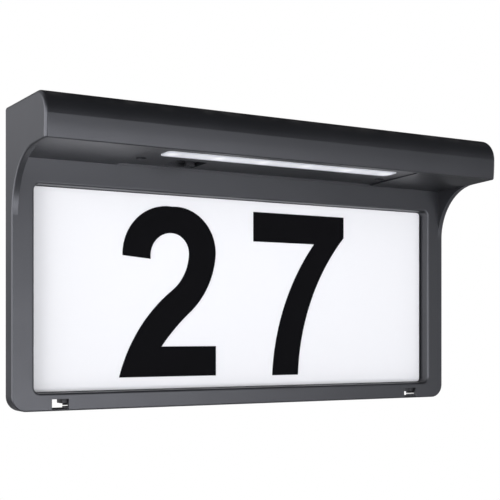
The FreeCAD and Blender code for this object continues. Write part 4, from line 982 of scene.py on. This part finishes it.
@dataclass
class Studio:
    """A white studio: the photograph's camera, a world that lights, a soft side lamp and a pale floor."""

    eye: Vector = field(default_factory=lambda: Vector((-0.3295, -0.5662, -0.1047)))
    turn: float = 30.58
    lens: float = 79.2
    sensor: float = 36.0
    rise: float = 0.1669
    floor_height: float = -0.62
    floor_side: float = 2.6
    floor_clouds: float = 0.4
    floor_glow: float = 0.5
    screen: float = 5.0
    wing: float = 2.8
    right_wing: float = 1.0
    backdrop: float = 0.4
    ambient: float = 0.24
    dark_room: float = 0.02
    tint: Colour = (0.955, 0.96, 1.0)
    lamp_place: tuple[float, float, float] = (-1.35, -0.62, 0.05)
    lamp_target: tuple[float, float, float] = (0.0, -0.02, -0.06)
    lamp_size: tuple[float, float] = (0.5, 0.9)
    lamp_power: float = 2.0

    def build(self) -> None:
        """Place the camera, the world, the floor and the lamp."""
        self._camera()
        self._world()
        self._floor()
        self._lamp()

    def _camera(self) -> None:
        """Make the camera level, and raise its view instead of tilting it."""
        data = bpy.data.cameras.new("camera")
        data.lens = self.lens
        data.sensor_width = self.sensor
        data.shift_y = self.rise
        camera = bpy.data.objects.new("camera", data)
        camera.location = self.eye
        camera.rotation_euler = Euler((math.pi / 2, 0.0, -math.radians(self.turn)))
        bpy.context.scene.collection.objects.link(camera)
        bpy.context.scene.camera = camera
        bpy.context.scene.view_settings.view_transform = "Standard"

    def _world(self) -> None:
        """Make a world that is white to the camera, and lights the sign as a studio would.

        Its strength depends on the ray's direction: a bright screen low in front, a wing on each side, and
        a dim backdrop high at the left rear, which glossy rays alone see. Glossy rays find a dark room
        between them, and other rays an even light.
        """
        world = bpy.data.worlds.new("studio")
        world.use_nodes = True
        bpy.context.scene.world = world
        tree = Tree(world.node_tree)
        rays = tree.node("ShaderNodeLightPath")
        seen, mirrored, passed = (Signal(tree, rays.outputs[f"Is {kind} Ray"])
                                  for kind in ("Camera", "Glossy", "Transmission"))
        towards = tree.add("ShaderNodeTexCoord", output="Generated")
        split = tree.node("ShaderNodeSeparateXYZ", sockets={0: towards})
        across, deep, up = (Signal(tree, socket) for socket in split.outputs)
        screen = (across - up * 0.5).ramp(0.68, 0.4) * across.ramp(-0.5, -0.1) * up.ramp(0.18, -0.14)
        screen = screen * deep.ramp(0.1, -0.2) * self.screen
        wing = across.ramp(-0.45, -0.7) * self.wing + across.ramp(0.74, 0.92) * self.right_wing
        backdrop = deep.ramp(0.0, 0.5) * across.ramp(0.1, -0.2) * up.ramp(-0.03, 0.22) * self.backdrop
        room = mirrored * (backdrop + self.dark_room) + (1.0 - mirrored) * self.ambient
        strength = screen + wing * up.ramp(0.55, 0.25) + room
        glow = {"Color": opaque(self.tint), "Strength": strength}
        plain = {"Color": opaque((1.0, 1.0, 1.0)), "Strength": 1.0}
        light, white = (tree.add("ShaderNodeBackground", sockets=sockets) for sockets in (glow, plain))
        unlit = seen.maths("MAXIMUM", passed)
        mixed = tree.add("ShaderNodeMixShader", sockets={0: unlit, 1: light, 2: white})
        tree.node("ShaderNodeOutputWorld", sockets={"Surface": mixed})

    def _floor(self) -> None:
        """Lay a pale floor well below the sign, with a glow that only the camera sees."""
        half = self.floor_side / 2
        corners = [(x, y, self.floor_height)
                   for x, y in ((-half, -half), (half, -half), (half, half), (-half, half))]
        mesh = bpy.data.meshes.new("floor")
        mesh.from_pydata(corners, [], [(0, 1, 2, 3)])
        surface = Surface("floor")
        clouds = surface.noise(self.floor_clouds, 3.0)
        body = surface.blend(clouds * 0.2, (0.9, 0.9, 0.9), (0.84, 0.84, 0.85))
        seen = surface.add("ShaderNodeLightPath", output="Is Camera Ray")
        pale = (self.floor_glow, self.floor_glow, self.floor_glow)
        glow = surface.blend(seen, (0.0, 0.0, 0.0), pale)
        mesh.materials.append(surface.finish(Base_Color=body, Roughness=clouds * 0.1 + 0.75,
                                             Emission_Color=glow, Emission_Strength=1.0))
        floor =bpy.data.objects.new("floor", mesh)
        bpy.context.scene.collection.objects.link(floor)

    def _lamp(self) -> None:
        """Hang the soft side lamp, which looks at the sign."""
        data = bpy.data.lights.new("side", "AREA")
        data.shape = "RECTANGLE"
        data.size, data.size_y = self.lamp_size
        data.energy = self.lamp_power
        data.color = self.tint
        lamp = bpy.data.objects.new("side", data)
        lamp.location = self.lamp_place
        gaze = Vector(self.lamp_target) - Vector(self.lamp_place)
        lamp.rotation_euler = gaze.to_track_quat("-Z", "Y").to_euler()
        bpy.context.scene.collection.objects.link(lamp)


def main() -> None:
    """Build every sub-assembly and the studio."""
    for part in (WallSide(), Housing(), LightModule(), Electronics(), Battery(), SolarPanel(), Studio()):
        part.build()


if __name__ == "__main__":
    main()
